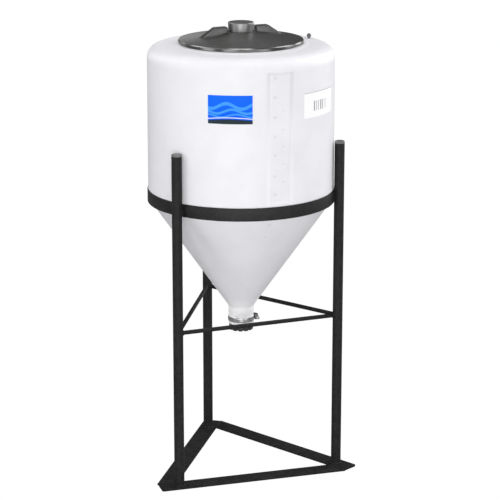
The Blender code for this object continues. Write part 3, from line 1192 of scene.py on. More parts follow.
    def in_panel(self, middle: Vector) -> bool:
        """Return whether a face's middle lies on the outside of the gauge panel.

        Args:
            middle: The face's middle.

        Returns:
            Whether it does.
        """
        turn = angle_of(middle) - self.panel_start
        level = self.panel_base < middle.z < self.panel_top
        skin = reach_of(middle) > self.barrel_top_radius - self.wall / 2
        return level and skin and 0.0 < turn < self.panel_sweep

    def build_shell(self) -> bpy.types.Object:
        """Spin the moulding and press the gauge panel into it.

        Returns:
            The shell.
        """
        stretches = (
            (self.panel_sweep, self.panel_columns),
            (FULL_TURN - self.panel_sweep, self.round_columns),
        )
        Bench.turn(self.outline(), AXIS, stretches, self.panel_start)
        Bench.pick(Pick.FACES, lambda middle, normal: self.in_panel(middle))
        bpy.ops.mesh.inset(thickness=self.panel_slope, depth=0.0)
        middle_height = (self.panel_base + self.panel_top) / 2
        place = self.panel_point(self.panel_middle(), middle_height)
        Bench.stretch((0.0, 1.0, 1.0), place, self.panel_grain())
        return Bench.done("tank_moulding", crease=40.0)

    def number(self, text: str, place: Vector, outward: Vector) -> bpy.types.Object:
        """Make a raised number that reads upright on a surface.

        Args:
            text: The number.
            place: Its middle on the surface.
            outward: The surface's normal.

        Returns:
            The number.
        """
        Bench.clear()
        bpy.ops.object.text_add()
        words = bpy.context.object.data
        words.body = text
        words.size = self.number_size
        words.extrude = self.number_relief
        words.resolution_u = 3
        words.align_x = "CENTER"
        words.align_y = "CENTER"
        bpy.ops.object.convert(target="MESH")
        along = UP.cross(outward).normalized()
        upward = outward.cross(along)
        grain = Matrix((along, upward, outward)).transposed().to_4x4()
        piece = Bench.placed(bpy.context.object, Matrix.Translation(place) @ grain)
        Bench.hold(piece)
        bpy.ops.object.mode_set(mode="EDIT")
        return Bench.done(f"number_{text}", crease=30.0)

    def tick(self, height: float) -> bpy.types.Object:
        """Make a short raised dash on the gauge panel.

        Args:
            height: Its height.

        Returns:
            The dash.
        """
        Bench.clear()
        bpy.ops.mesh.primitive_cube_add(size=1.0)
        width, tall = self.tick_size
        grain = self.panel_grain()
        place = self.panel_point(self.tick_angle, height)
        size = Matrix.Diagonal((self.number_relief * 2, width, tall, 1.0))
        piece = bpy.context.object
        piece.matrix_world = Matrix.Translation(place) @ grain.to_4x4() @ size
        Bench.settle()
        bpy.ops.mesh.bevel(offset=self.number_relief / 2, segments=2)
        return Bench.done("tick", crease=60.0)

    def build_gauge(self) -> bpy.types.Object:
        """Make the numbers and dashes of the gauge panel.

        Returns:
            All of them as one piece.
        """
        outward = self.panel_grain().col[0]
        marks = [
            self.number(text, self.panel_point(self.gallon_angle, height), outward)
            for text, height in self.gallon_marks
        ]
        first = self.panel_point(self.tick_angle, self.tick_marks[0])
        dash = self.tick(self.tick_marks[0])
        for height in self.tick_marks[1:]:
            move = Matrix.Translation(self.panel_point(self.tick_angle, height) - first)
            marks.append(Bench.copy(dash, "tick", move))
        marks.append(dash)
        return Bench.joined(marks, "gauge_marks")

    def build_cone_marks(self) -> bpy.types.Object:
        """Make the numbers on the cone's front.

        Returns:
            All of them as one piece.
        """
        slope = math.radians(self.cone_half_angle)
        marks = []
        for text, angle, height in self.cone_marks:
            flat = polar(1.0, angle) - AXIS
            outward = (flat * math.cos(slope) - UP * math.sin(slope)).normalized()
            place = polar(self.cone_radius(height), angle, height)
            marks.append(self.number(text, place, outward))
        return Bench.joined(marks, "cone_marks")

    def build(self, finisher: Finisher) -> None:
        """Build the moulding and its marks.

        Args:
            finisher: Dresses the pieces.
        """
        quarters = [f"{part}_{side}" for part in ("barrel", "cone") for side in self.sides]
        nodes = [*quarters, "tank_top", "manway_collar", "outlet_neck"]
        finisher.hand_over(self.build_shell(), TankPlastic(), Body.TANK, nodes)
        # The raised marks get darker tints than the tank's plastic.
        darker_tint_marks = TankPlastic(clear_tint=(0.72, 0.715, 0.74), cloud_tint=(0.68, 0.675, 0.7))
        finisher.hand_over(self.build_gauge(), darker_tint_marks, Body.TANK)
        finisher.hand_over(self.build_cone_marks(), darker_tint_marks, Body.TANK)


@dataclass
class Lid:
    """The dark lid with its two hand ribs and the vent cap."""

    radius: float = 0.2034
    wall: float = 0.005
    skirt: float = 1.4338
    edge: float = 1.445
    edge_rounding: float = 0.0012
    chamfer_width: float = 0.0019
    chamfer_height: float = 0.0027
    skirt_lean: float = 0.0010
    skirt_rounding: float = 0.0008
    inner_rounding: float = 0.002
    seat: float = 1.470
    seat_radius: float = 0.045
    seat_rounding: float = 0.004
    hole_radius: float = 0.030
    hole_rounding: float = 0.0006
    rib_start: float = 0.0492
    rib_shoulder: float = 0.092
    rib_end: float = 0.139
    rib_top: float = 1.487
    rib_thickness: float = 0.028
    rib_rounding: float = 0.0032
    rib_foot: float = 0.0014
    rib_foot_bevel: float = 0.00063
    rib_pivot: float = 0.6
    cap_radius: float = 0.042
    cap_rounding: float = 0.0022
    cap_base_radius: float = 0.0405
    cap_base_rounding: float = 0.0014
    cap_top: float = 1.5
    cap_dish_radius: float = 0.0345
    cap_dish: float = 0.0005
    cap_dish_rounding: float = 0.0008
    cap_lip: float = 0.0012
    cap_lip_rounding: float = 0.0006
    cap_columns: int = 96
    spigot: float = 0.012
    spigot_root_rounding: float = 0.0004
    spigot_rounding: float = 0.0008
    columns: int = 160

    def slope(self) -> float:
        """Return how much the top rises for each metre towards the axis."""
        return (self.seat - self.edge) / (self.radius - self.seat_radius)

    def top_at(self, reach: float) -> float:
        """Return the height of the sloping top at a distance from the axis."""
        return self.edge + (self.radius - reach) * self.slope()

    def build_cover(self) -> bpy.types.Object:
        """Spin the sloping top with its softly chamfered rim and short skirt.

        Returns:
            The cover.
        """
        inner = self.radius - self.wall
        under = self.seat - self.wall
        brow = self.radius - self.skirt_lean
        shoulder = brow - self.chamfer_width
        middle = (self.hole_radius, self.seat - self.wall / 2, 0.0)
        corners = [
            middle,
            (self.hole_radius, self.seat, self.hole_rounding),
            (self.seat_radius, self.seat, self.seat_rounding),
            (shoulder, self.top_at(shoulder), self.edge_rounding),
            (brow, self.top_at(shoulder) - self.chamfer_height, self.edge_rounding),
            (self.radius, self.skirt, self.edge_rounding),
            (inner, self.skirt, self.skirt_rounding),
            (inner, self.top_at(inner) - self.wall, self.inner_rounding),
            (self.seat_radius, under, self.inner_rounding),
            (self.hole_radius, under, 0.0),
            middle,
        ]
        Bench.lathe(rounded(corners, steps=8), AXIS, self.columns)
        return Bench.done("lid_cover", crease=40.0)

    def build_rib(self) -> bpy.types.Object:
        """Shape one hand rib from a block: slant its end, widen its foot, round its edges.

        Returns:
            The rib on the right.
        """
        Bench.clear()
        base = self.edge
        size = Vector((self.rib_end - self.rib_start, self.rib_thickness, self.rib_top - base))
        middle = Vector((self.rib_start + size.x / 2, 0.0, base + size.z / 2))
        bpy.ops.mesh.primitive_cube_add(size=1.0, location=AXIS + middle, scale=size)
        Bench.settle()
        shoulder = AXIS + Vector((self.rib_shoulder, 0.0, self.rib_top))
        end = AXIS + Vector((self.rib_end, 0.0, self.top_at(self.rib_end)))
        run = end - shoulder
        Bench.cut(end, Vector((-run.z, 0.0, run.x)))
        floor_normal = Vector((self.slope(), 0.0, 1.0)).normalized()
        Bench.cut(end - floor_normal * GAP, -floor_normal)
        Bench.cut(end + floor_normal * self.rib_foot, floor_normal, clear=False)
        Bench.pick(Pick.EDGES, lambda spot, aim: floor_normal.dot(spot - end) > self.rib_foot + GAP)
        bpy.ops.mesh.bevel(offset=self.rib_rounding, segments=4, profile=0.5)
        Bench.pick(Pick.POINTS, lambda spot, aim: floor_normal.dot(spot - end) < GAP * 2)
        wide = 1.0 + 2 * self.rib_foot / self.rib_thickness
        long = 1.0 + self.rib_foot / (self.rib_end - self.rib_start)
        Bench.stretch((long, wide, 1.0), end + (AXIS + UP * end.z - end) * self.rib_pivot)
        Bench.pick(
            Pick.EDGES,
            lambda spot, aim: abs(floor_normal.dot(spot - end) - self.rib_foot) < GAP
            and abs(aim.dot(floor_normal)) < 0.5,
        )
        bpy.ops.mesh.bevel(offset=self.rib_foot_bevel, segments=3, profile=0.5)
        return Bench.done("hand_rib_right", crease=50.0)

    def build_cap(self) -> bpy.types.Object:
        """Spin the vent cap, with a shallow dish on top and slightly drawn-in sides.

        Returns:
            The cap.
        """
        base = self.seat + GAP
        spigot_radius = self.hole_radius - GAP
        corners = [
            (0.0, self.cap_top - self.cap_dish, 0.0),
            (self.cap_dish_radius, self.cap_top - self.cap_dish, self.cap_dish_rounding),
            (self.cap_dish_radius + self.cap_lip, self.cap_top, self.cap_lip_rounding),
            (self.cap_radius, self.cap_top, self.cap_rounding),
            (self.cap_base_radius, base, self.cap_base_rounding),
            (spigot_radius, base, self.spigot_root_rounding),
            (spigot_radius, self.seat - self.spigot, self.spigot_rounding),
            (0.0, self.seat - self.spigot, 0.0),
        ]
        Bench.lathe(rounded(corners, steps=6), AXIS, self.cap_columns)
        return Bench.done("vent_cap_cover", crease=40.0)

    def build(self, finisher: Finisher) -> None:
        """Build the lid's pieces.

        Args:
            finisher: Dresses the pieces.
        """
        finisher.hand_over(self.build_cover(), LidPlastic(), Body.LID, ["lid_plate"])
        rib = self.build_rib()
        twin = Bench.copy(rib, "hand_rib_left", about_axis(180.0))
        finisher.hand_over(rib, LidPlastic(), Body.LID, ["lid_rib_right"])
        finisher.hand_over(twin, LidPlastic(), Body.LID, ["lid_rib_left"])
        polished = LidPlastic(roughness=0.36, streak_roughness=0.05, grain_depth=0.00003, gloss=2.9)
        finisher.hand_over(self.build_cap(), polished, Body.LID, ["vent_cap"])


@dataclass
class TetherStud:
    """The small ball stud on the tank's top."""

    distance: float = 0.2513
    angle: float = 6.0
    base: float = 1.4283
    ball_radius: float = 0.0075
    ball_centre: float = 0.0092
    stem_radius: float = 0.003
    foot_radius: float = 0.0052
    foot_height: float = 0.0012
    stem_rounding: float = 0.0005
    foot_rounding: float = 0.0008
    ball_steps: int = 16
    columns: int = 40

    def build(self, finisher: Finisher) -> None:
        """Spin the stud: foot, stem and ball.

        Args:
            finisher: Dresses the piece.
        """
        meet = math.asin(self.stem_radius / self.ball_radius)
        line: List[Spot] = []
        for step in range(self.ball_steps + 1):
            turn = math.pi / 2 - (math.pi - meet) * step / self.ball_steps
            reach = self.ball_radius * math.cos(turn)
            line.append((abs(reach), self.ball_centre + self.ball_radius * math.sin(turn)))
        line[0] = (0.0, line[0][1])
        line += rounded(
            [
                (self.stem_radius, line[-1][1] - NUDGE, 0.0),
                (self.stem_radius, self.foot_height, self.stem_rounding),
                (self.foot_radius, self.foot_height, self.foot_rounding),
                (self.foot_radius, 0.0, 0.0),
                (0.0, 0.0, 0.0),
            ],
            steps=4,
        )
        Bench.lathe(line, polar(self.distance, self.angle, self.base), self.columns)
        stud = Bench.done("tether_ball_stud", crease=50.0)
        grey = BlackPlastic(deep=(0.12, 0.12, 0.12), pale=(0.2, 0.2, 0.2))
        finisher.hand_over(stud, grey, Body.TANK, ["tether_stud"])


@dataclass
class Welds:
    """Rippled weld beads, straight and round."""

    ripple: float = 0.0003
    pitch: float = 0.0022
    bead: float = 0.0022
    foot_bead: float = 0.003
    foot_lift: float = 0.0008
    foot_spread: float = 0.0012
    band_bead: float = 0.0026
    band_inset: float = 0.002
    brace_sink: float = 0.0006
    brace_spread: float = 0.0008
    bar_inset: float = 0.004
    tip: float = 0.45
    taper: float = 0.25
    least_ripples: int = 4
    least_ring_ripples: int = 12
    sides: int = 12
    ring_sides: int = 10

    def straight(self, start: Vector, end: Vector, radius: float) -> bpy.types.Object:
        """Make a straight bead with tapered ends.

        Args:
            start: Its first end.
            end: Its other end.
            radius: Its half width.

        Returns:
            The bead.
        """
        run = end - start
        count = max(self.least_ripples, round(run.length / self.pitch)) * 2
        line: List[Spot] = [(0.0, 0.0)]
        for step in range(1, count):
            ends = min(1.0, self.tip + self.taper * min(step, count - step))
            swell = self.ripple * (step % 2)
            line.append((radius * ends + swell, run.length * step / count))
        line.append((0.0, run.length))
        Bench.lathe(line, Vector(), self.sides)
        piece = Bench.done("bead", crease=60.0)
        aim = run.to_track_quat("Z", "Y").to_matrix().to_4x4()
        return Bench.placed(piece, Matrix.Translation(start) @ aim)

    def ring(self, centre: Vector, aim: Vector, radius: float, bead: float) -> bpy.types.Object:
        """Make a round bead.

        Args:
            centre: The ring's middle.
            aim: The ring's axis.
            radius: From the middle to the bead's core.
            bead: The bead's half width.

        Returns:
            The bead.
        """
        Bench.clear()
        turns = max(self.least_ring_ripples, round(math.tau * radius / self.pitch))
        bpy.ops.mesh.primitive_torus_add(
            major_radius=radius,
            minor_radius=bead,
            major_segments=turns * 2,
            minor_segments=self.ring_sides,
        )
        Bench.settle()
        slice_angle = math.tau / turns
        Bench.pick(
            Pick.POINTS,
            lambda spot, normal: (math.atan2(spot.y, spot.x) / slice_angle + 0.25) % 1.0 < 0.5,
        )
        bpy.ops.transform.shrink_fatten(value=self.ripple)
        piece = Bench.done("bead", crease=60.0)
        place = Matrix.Translation(centre) @ aim.to_track_quat("Z", "Y").to_matrix().to_4x4()
        return Bench.placed(piece, place)


@dataclass
class Stand:
    """The black stand: three tubes with plugs, the band, the braces and the base bars."""

    leg_distance: float = 0.3246
    tube_radius: float = 0.0165
    tube_wall: float = 0.0026
    tube_rounding: float = 0.0006
    tube_columns: int = 48
    dome_steps: int = 10
    tube_top: float = 1.112
    plug_top: float = 1.1215
    plug_edge: float = 0.005
    plug_spigot: float = 0.010
    plug_rounding: float = 0.0003
    spigot_rounding: float = 0.0006
    band_top: float = 0.955
    band_height: float = 0.0415
    band_outer: float = 0.3078
    band_thickness: float = 0.005
    band_rounding: float = 0.0011
    band_columns: int = 192
    brace_height: float = 0.5285
    brace_radius: float = 0.0069
    brace_bevel: float = 0.0008
    brace_sides: int = 32
    bar_thickness: float = 0.006
    bar_width: float = 0.060
    bar_distance: float = 0.1837
    bar_free_end: float = 0.3328
    bar_corner: float = 0.007
    bar_cut: float = 30.0
    bar_rounding: float = 0.0009
    leg_angle: float = 90.0
    turns: Tuple[float, ...] = (120.0, -120.0)
    leg_sides: Tuple[str, ...] = ("back", "front_left", "front_right")
    span_sides: Tuple[str, ...] = ("left", "front", "right")

    def leg_place(self, height: float = 0.0, turn: float = 0.0) -> Vector:
        """Return a point of a leg's axis, the first leg's or one that stands a turn from it."""
        return polar(self.leg_distance, self.leg_angle + turn, height)

    def build_tube(self) -> bpy.types.Object:
        """Spin the first leg's tube.

        Returns:
            The tube.
        """
        outer, inner = self.tube_radius, self.tube_radius - self.tube_wall
        base = self.bar_thickness + GAP
        section = ring_section(outer, inner, base, self.tube_top, 0.0, self.tube_rounding)
        Bench.lathe(section, self.leg_place(), self.tube_columns)
        return Bench.done("leg_tube_back", crease=40.0)

    def build_plug(self) -> bpy.types.Object:
        """Spin the domed plug of the first leg's tube.

        Returns:
            The plug.
        """
        seat = self.tube_top + GAP
        edge = seat + self.plug_edge
        rise = self.plug_top - edge
        spigot = self.tube_radius - self.tube_wall - GAP
        foot = seat - self.plug_spigot
        line: List[Spot] = []
        for step in range(self.dome_steps + 1):
            turn = math.pi / 2 * step / self.dome_steps
            line.append((self.tube_radius * math.sin(turn), edge + rise * math.cos(turn)))
        line += rounded(
            [
                (self.tube_radius, edge - NUDGE, 0.0),
                (self.tube_radius, seat, self.plug_rounding),
                (spigot, seat, 0.0),
                (spigot, foot, self.spigot_rounding),
                (0.0, foot, 0.0),
            ],
            steps=3,
        )
        Bench.lathe(line, self.leg_place(), self.tube_columns)
        return Bench.done("leg_plug_back", crease=50.0)

    def build_band(self) -> bpy.types.Object:
        """Spin the flat band with its softened edges.

        Returns:
            The band.
        """
        outer, inner = self.band_outer, self.band_outer - self.band_thickness
        low, edge = self.band_top - self.band_height, self.band_rounding
        section = ring_section(outer, inner, low, self.band_top, edge, edge)
        Bench.lathe(section, AXIS, self.band_columns)
        return Bench.done("band_ring", crease=50.0)

    def build_brace(self) -> bpy.types.Object:
        """Make the round brace from the first leg to the next, its ends drawn in a little.

        Returns:
            The brace.
        """
        start = self.leg_place(self.brace_height)
        end = self.leg_place(self.brace_height, self.turns[0])
        aim = (end - start).normalized()
        inset = aim * (self.tube_radius + GAP)
        Bench.drum(start + inset, end - inset, self.brace_radius, self.brace_sides)
        Bench.pick(Pick.FACES, lambda middle, normal: abs(normal.dot(aim)) > 0.9)
        bpy.ops.mesh.bevel(offset=self.brace_bevel, segments=2)
        return Bench.done("brace_rod_left", crease=40.0)

    def bar_outline(self) -> List[Spot]:
        """Return a base bar's plan: along the bar, and away from the tank's axis.

        Returns:
            The plan's corners.
        """
        inner = self.bar_distance - self.bar_width / 2
        outer = self.bar_distance + self.bar_width / 2
        reach = inner - GAP
        cut = math.radians(self.bar_cut)
        butt_inner = (reach + inner * math.sin(cut)) / math.cos(cut)
        butt_outer = (reach + outer * math.sin(cut)) / math.cos(cut)
        corners = [
            (-butt_outer, outer, 0.0),
            (-butt_inner, inner, 0.0),
            (self.bar_free_end, inner, self.bar_corner),
            (self.bar_free_end, outer, self.bar_corner),
            (-butt_outer, outer, 0.0),
        ]
        return rounded(corners, steps=6)[:-1]

    def bar_grain(self) -> Matrix:
        """Return the placing of the base bar that carries the first leg.

        Returns:
            The placing.
        """
        turn = math.acos(self.bar_distance / self.leg_distance)
        angle = math.radians(self.leg_angle) + turn - math.pi / 2
        return Matrix.Translation(AXIS) @ Matrix.Rotation(angle, 4, "Z")

    def build_bar(self) -> bpy.types.Object:
        """Make the first flat base bar: draw its plan, raise it and soften its edges.

        Returns:
            The bar.
        """
        Bench.slab(self.bar_outline(), 0.0, self.bar_thickness)
        Bench.pick(Pick.EDGES, lambda middle, aim: abs(aim.z) < 0.1)
        bpy.ops.mesh.bevel(offset=self.bar_rounding, segments=3, profile=0.5)
        return Bench.placed(Bench.done("base_flat_left", crease=40.0), self.bar_grain())

    def leg_welds(self, welds: Welds) -> List[bpy.types.Object]:
        """Make the first leg's beads: round its foot and down both sides of the band.

        Args:
            welds: Makes the beads.

        Returns:
            The beads.
        """
        foot = self.leg_place(self.bar_thickness + welds.foot_lift)
        ring = welds.ring(foot, UP, self.tube_radius + welds.foot_spread, welds.foot_bead)
        side_a = self.band_outer + welds.band_bead / 2
        side_b = self.tube_radius + welds.band_bead / 2
        side_c = self.leg_distance
        spread = math.degrees(
            math.acos((side_a**2 + side_c**2 - side_b**2) / (2 * side_a * side_c))
        )
        low = self.band_top - self.band_height + welds.band_inset
        high = self.band_top - welds.band_inset
        angle = self.leg_angle - spread
        down = welds.straight(polar(side_a, angle, low), polar(side_a, angle, high), welds.band_bead)
        return [ring, down, Bench.copy(down, "bead", about_axis(2 * spread))]

    def brace_welds(self, welds: Welds) -> List[bpy.types.Object]:
        """Make the beads at both ends of the first brace.

        Args:
            welds: Makes the beads.

        Returns:
            The beads.
        """
        start = self.leg_place(self.brace_height)
        end = self.leg_place(self.brace_height, self.turns[0])
        run = end - start
        aim = run.normalized()
        offset = aim * (self.tube_radius - welds.brace_sink)
        ring = welds.ring(start + offset, aim, self.brace_radius + welds.brace_spread, welds.bead)
        return [ring, Bench.copy(ring, "bead", Matrix.Translation(run - 2 * offset))]

    def bar_weld(self, welds: Welds) -> bpy.types.Object:
        """Make the bead where the first bar's cut end meets the next bar.

        Args:
            welds: Makes the beads.

        Returns:
            The bead.
        """
        grain = self.bar_grain()
        level = self.bar_thickness - welds.foot_lift
        ends = [grain @ Vector((x, y, level)) for x, y in self.bar_outline()[:2]]
        inset = (ends[1] - ends[0]).normalized() * welds.bar_inset
        return welds.straight(ends[0] + inset, ends[1] - inset, welds.bead)

    def around(self, piece: bpy.types.Object, sides: Sequence[str]) -> List[bpy.types.Object]:
        """Copy the first third's piece to the other two thirds.

        Args:
            piece: The piece, whose name ends in its side.
            sides: The three sides, the piece's own first.

        Returns:
            The three pieces.
        """
        stem = piece.name.removesuffix(sides[0])
        trio = [piece]
        for side, turn in zip(sides[1:], self.turns):
            trio.append(Bench.copy(piece, stem + side, about_axis(turn)))
        return trio

    def build(self, finisher: Finisher) -> None:
        """Build the stand: one third of it, its copies, the band and the beads.

        Args:
            finisher: Dresses the pieces.
        """
        grey = BlackPlastic(deep=(0.11, 0.11, 0.115), pale=(0.2, 0.2, 0.205))
        for piece, node, sides, finish in (
            (self.build_tube(), "leg", self.leg_sides, BlackPaint()),
            (self.build_plug(), "leg_cap", self.leg_sides, grey),
            (self.build_brace(), "brace", self.span_sides, BlackPaint()),
            (self.build_bar(), "base_bar", self.span_sides, BlackPaint(gloss=0.2)),
        ):
            for side, copy in zip(sides, self.around(piece, sides)):
                finisher.hand_over(copy, finish, Body.TANK, [f"{node}_{side}"])
        band_nodes = [f"band_{side}" for side in self.span_sides]
        smoother = BlackPaint(roughness=0.42, gloss=0.36)
        finisher.hand_over(self.build_band(), smoother, Body.TANK, band_nodes)
        welds = Welds()
        beads = [*self.leg_welds(welds), *self.brace_welds(welds), self.bar_weld(welds)]
        third = Bench.joined(beads, "beads_left")
        whole = Bench.joined(self.around(third, self.span_sides), "weld_beads")
        finisher.hand_over(whole, BlackPaint(), Body.TANK)


@dataclass
class OutletFittings:
    """The worm clamp round the neck and the lugged drain cap under it."""

    strap_inner: float = 0.0430
    strap_thickness: float = 0.0009
    strap_base: float = 0.4975
    strap_height: float = 0.0155
    strap_crown: float = 0.0007
    strap_rounding: float = 0.0003
    strap_crown_rounding: float = 0.002
    strap_columns: int = 144
    slot_reach: float = 62.0
    slot_border: float = 0.0002
    slot_depth: float = 0.00045
    turn: float = -13.0
    housing_length: float = 0.024
    housing_low: float = -0.0062
    housing_high: float = 0.0124
    housing_depth: float = 0.0125
    housing_bend: float = 0.0012
    housing_bend_rounding: float = 0.004
    housing_corner: float = 0.0015
    housing_tail: float = 0.0015
    housing_tail_rounding: float = 0.001
    housing_rounding: float = 0.003
    housing_land: float = 0.001
    screw_line: float = 0.0553
    flange_radius: float = 0.0055
    flange_bevel: float = 0.0003
    flange_sides: int = 32
    hexagon_radius: float = 0.00517
    hexagon_length: float = 0.00432
    hexagon_bevel: float = 0.0006
    head_length: float = 0.006
    screw_slot_half: float = 0.0007
    screw_slot_depth: float = 0.0014
    cap_radius: float = 0.040
    cap_base: float = 0.467
    cap_floor: float = 0.4722
    cap_top: float = 0.4887
    plug_radius: float = 0.0365
    plug_top: float = 0.5007
    plug_rounding: float = 0.0008
    cap_rounding: float = 0.0012
    floor_rounding: float = 0.0005
    floor_dish: float = 0.0004
    lugs: int = 12
    lug_columns: int = 16
    lug_width: float = 0.0075
    lug_lean: float = 0.0015
    lug_step: float = 0.001
    lug_share: float = 0.7
    lug_phase: float = 5.0
    lug_gap_height: float = 0.6
    flute: float = 0.0022
    flute_skin: float = 0.0015
    flute_margin: float = 0.001
    rim_land: float = 0.0002

    def grain(self) -> Matrix:
        """Return the clamp's placing: X outwards through the housing, at its middle height."""
        middle = Matrix.Translation(AXIS + UP * (self.strap_base + self.strap_height / 2))
        return middle @ Matrix.Rotation(math.radians(self.turn), 4, "Z")

    def build_strap(self) -> bpy.types.Object:
        """Spin the strap, turn its edges up a little and press the worm's slots in.

        Returns:
            The strap.
        """
        inner, outer = self.strap_inner, self.strap_inner + self.strap_thickness
        low, high = self.strap_base, self.strap_base + self.strap_height
        quarter = self.strap_height / 4
        middle = (inner, (low + high) / 2, 0.0)
        corners = [
            middle,
            (inner, low, 0.0),
            (outer - self.strap_crown, low, self.strap_rounding),
            (outer, low + quarter, self.strap_crown_rounding),
            (outer, high - quarter, self.strap_crown_rounding),
            (outer - self.strap_crown, high, self.strap_rounding),
            (inner, high, 0.0),
            middle,
        ]
        Bench.lathe(rounded(corners, steps=3), AXIS, self.strap_columns)
        column = FULL_TURN / self.strap_columns

        def in_slot(middle: Vector, normal: Vector) -> bool:
            """Return whether a face lies in one of the slots."""
            away = math.remainder(angle_of(middle) - self.turn, FULL_TURN)
            level = abs(middle.z - (low + high) / 2) < quarter / 2
            odd = round(away / column - 0.5) % 2 == 1
            outside = reach_of(middle) > (inner + outer) / 2
            return level and odd and outside and abs(away) < self.slot_reach

        Bench.pick(Pick.FACES, in_slot)
        bpy.ops.mesh.inset(
            thickness=self.slot_border, depth=-self.slot_depth, use_individual=True
        )
        return Bench.done("clamp_band", crease=35.0)

    def build_housing(self) -> bpy.types.Object:
        """Make the worm housing: draw its plan, raise it and round its back.

        Returns:
            The housing.
        """
        near = self.strap_inner + self.strap_thickness + GAP
        far = near + self.housing_depth
        half = self.housing_length / 2
        corners = [
            (near, 0.0, 0.0),
            (near, -half, 0.0),
            (far, -half, self.housing_corner),
            (far, self.housing_bend, self.housing_bend_rounding),
            (near + self.housing_tail, half, self.housing_tail_rounding),
            (near, half, 0.0),
            (near, 0.0, 0.0),
        ]
        tall = self.housing_high - self.housing_low
        Bench.slab(rounded(corners, steps=4)[:-1], self.housing_low, tall)
        line = near + self.housing_land
        Bench.pick(Pick.EDGES, lambda middle, aim: abs(aim.z) < 0.1 and middle.x > line)
        bpy.ops.mesh.bevel(offset=self.housing_rounding, segments=4, profile=0.5)
        return Bench.placed(Bench.done("clamp_worm_housing", crease=40.0), self.grain())

    def build_screw(self) -> bpy.types.Object:
        """Make the slotted hexagon head with its flange.

        Returns:
            The screw head.
        """
        near = -self.housing_length / 2 - GAP
        tip = Vector((self.screw_line, near - self.head_length, 0.0))
        root = Vector((self.screw_line, near, 0.0))
        collar = tip + Vector((0.0, self.hexagon_length, 0.0))
        Bench.drum(collar, root, self.flange_radius, self.flange_sides)
        bpy.ops.mesh.bevel(offset=self.flange_bevel, segments=2)
        flange = Bench.done("flange", crease=40.0)
        Bench.drum(tip, collar, self.hexagon_radius, 6)
        slot_half = self.screw_slot_half
        for side in (-1.0, 1.0):
            Bench.cut(tip + UP * slot_half * side, UP, clear=False)
        Bench.pick(
            Pick.FACES, lambda middle, normal: normal.y < -0.9 and abs(middle.z) < slot_half
        )
        inward = (0.0, self.screw_slot_depth, 0.0)
        bpy.ops.mesh.extrude_region_move(TRANSFORM_OT_translate={"value": inward})
        Bench.mend()
        Bench.pick(
            Pick.EDGES,
            lambda middle, aim: abs(aim.y) < 0.1
            and abs(middle.y - tip.y) < NUDGE
            and abs(middle.z) > slot_half + GAP,
        )
        bpy.ops.mesh.bevel(offset=self.hexagon_bevel, segments=2)
        head = Bench.done("hexagon", crease=30.0)
        return Bench.placed(Bench.joined([flange, head], "clamp_screw_head"), self.grain())

    def in_flute(self, spot: Vector) -> bool:
        """Return whether a point lies between two lugs of the drain cap."""
        share = (angle_of(spot) - self.lug_phase) / (FULL_TURN / self.lugs) % 1.0
        return abs(share - 0.5) < 0.5 - self.lug_share / 2 - self.flute_margin

    def build_drain_cap(self) -> bpy.types.Object:
        """Spin the cap, press flutes into its side and cut the lugs free below.

        Returns:
            The cap.
        """
        rim = self.cap_radius
        corners = [
            (0.0, self.plug_top, 0.0),
            (self.plug_radius, self.plug_top, self.plug_rounding),
            (self.plug_radius, self.cap_top, 0.0),
            (rim, self.cap_top, self.cap_rounding),
            (rim, self.cap_floor + self.lug_step, 0.0),
            (rim, self.cap_base, self.cap_rounding),
            (rim - self.lug_width, self.cap_base, self.plug_rounding),
            (rim - self.lug_width - self.lug_lean, self.cap_floor, self.floor_rounding),
            (0.0, self.cap_floor - self.floor_dish, 0.0),
        ]
        Bench.lathe(rounded(corners, steps=4), AXIS, self.lugs * self.lug_columns)
        Bench.pick(
            Pick.POINTS,
            lambda spot, normal: self.in_flute(spot)
            and spot.z < self.cap_top - self.rim_land
            and reach_of(spot) > rim - self.flute_skin,
        )
        inward = (rim - self.flute) / rim
        Bench.stretch((inward, inward, 1.0), AXIS)
        freed = self.cap_floor - self.lug_step
        Bench.pick(Pick.POINTS, lambda spot, normal: self.in_flute(spot) and spot.z < freed)
        Bench.stretch((1.0, 1.0, self.lug_gap_height), AXIS + UP * self.cap_floor)
        return Bench.done("drain_cap_lugged", crease=35.0)

    def build(self, finisher: Finisher) -> None:
        """Build the clamp and the cap.

        Args:
            finisher: Dresses the pieces.
        """
        finisher.hand_over(self.build_strap(), Stainless(), Body.TANK, ["clamp_strap"])
        # Painted shade: the worm housing's steel gets darker colours than the strap's.
        painted_shade_steel = Stainless(bright=(0.2, 0.2, 0.2), dull=(0.1, 0.1, 0.1))
        finisher.hand_over(self.build_housing(), painted_shade_steel, Body.TANK, ["clamp_housing"])
        finisher.hand_over(self.build_screw(), Stainless(), Body.TANK, ["clamp_screw"])
        finisher.hand_over(self.build_drain_cap(), BlackPlastic(), Body.TANK, ["drain_cap"])


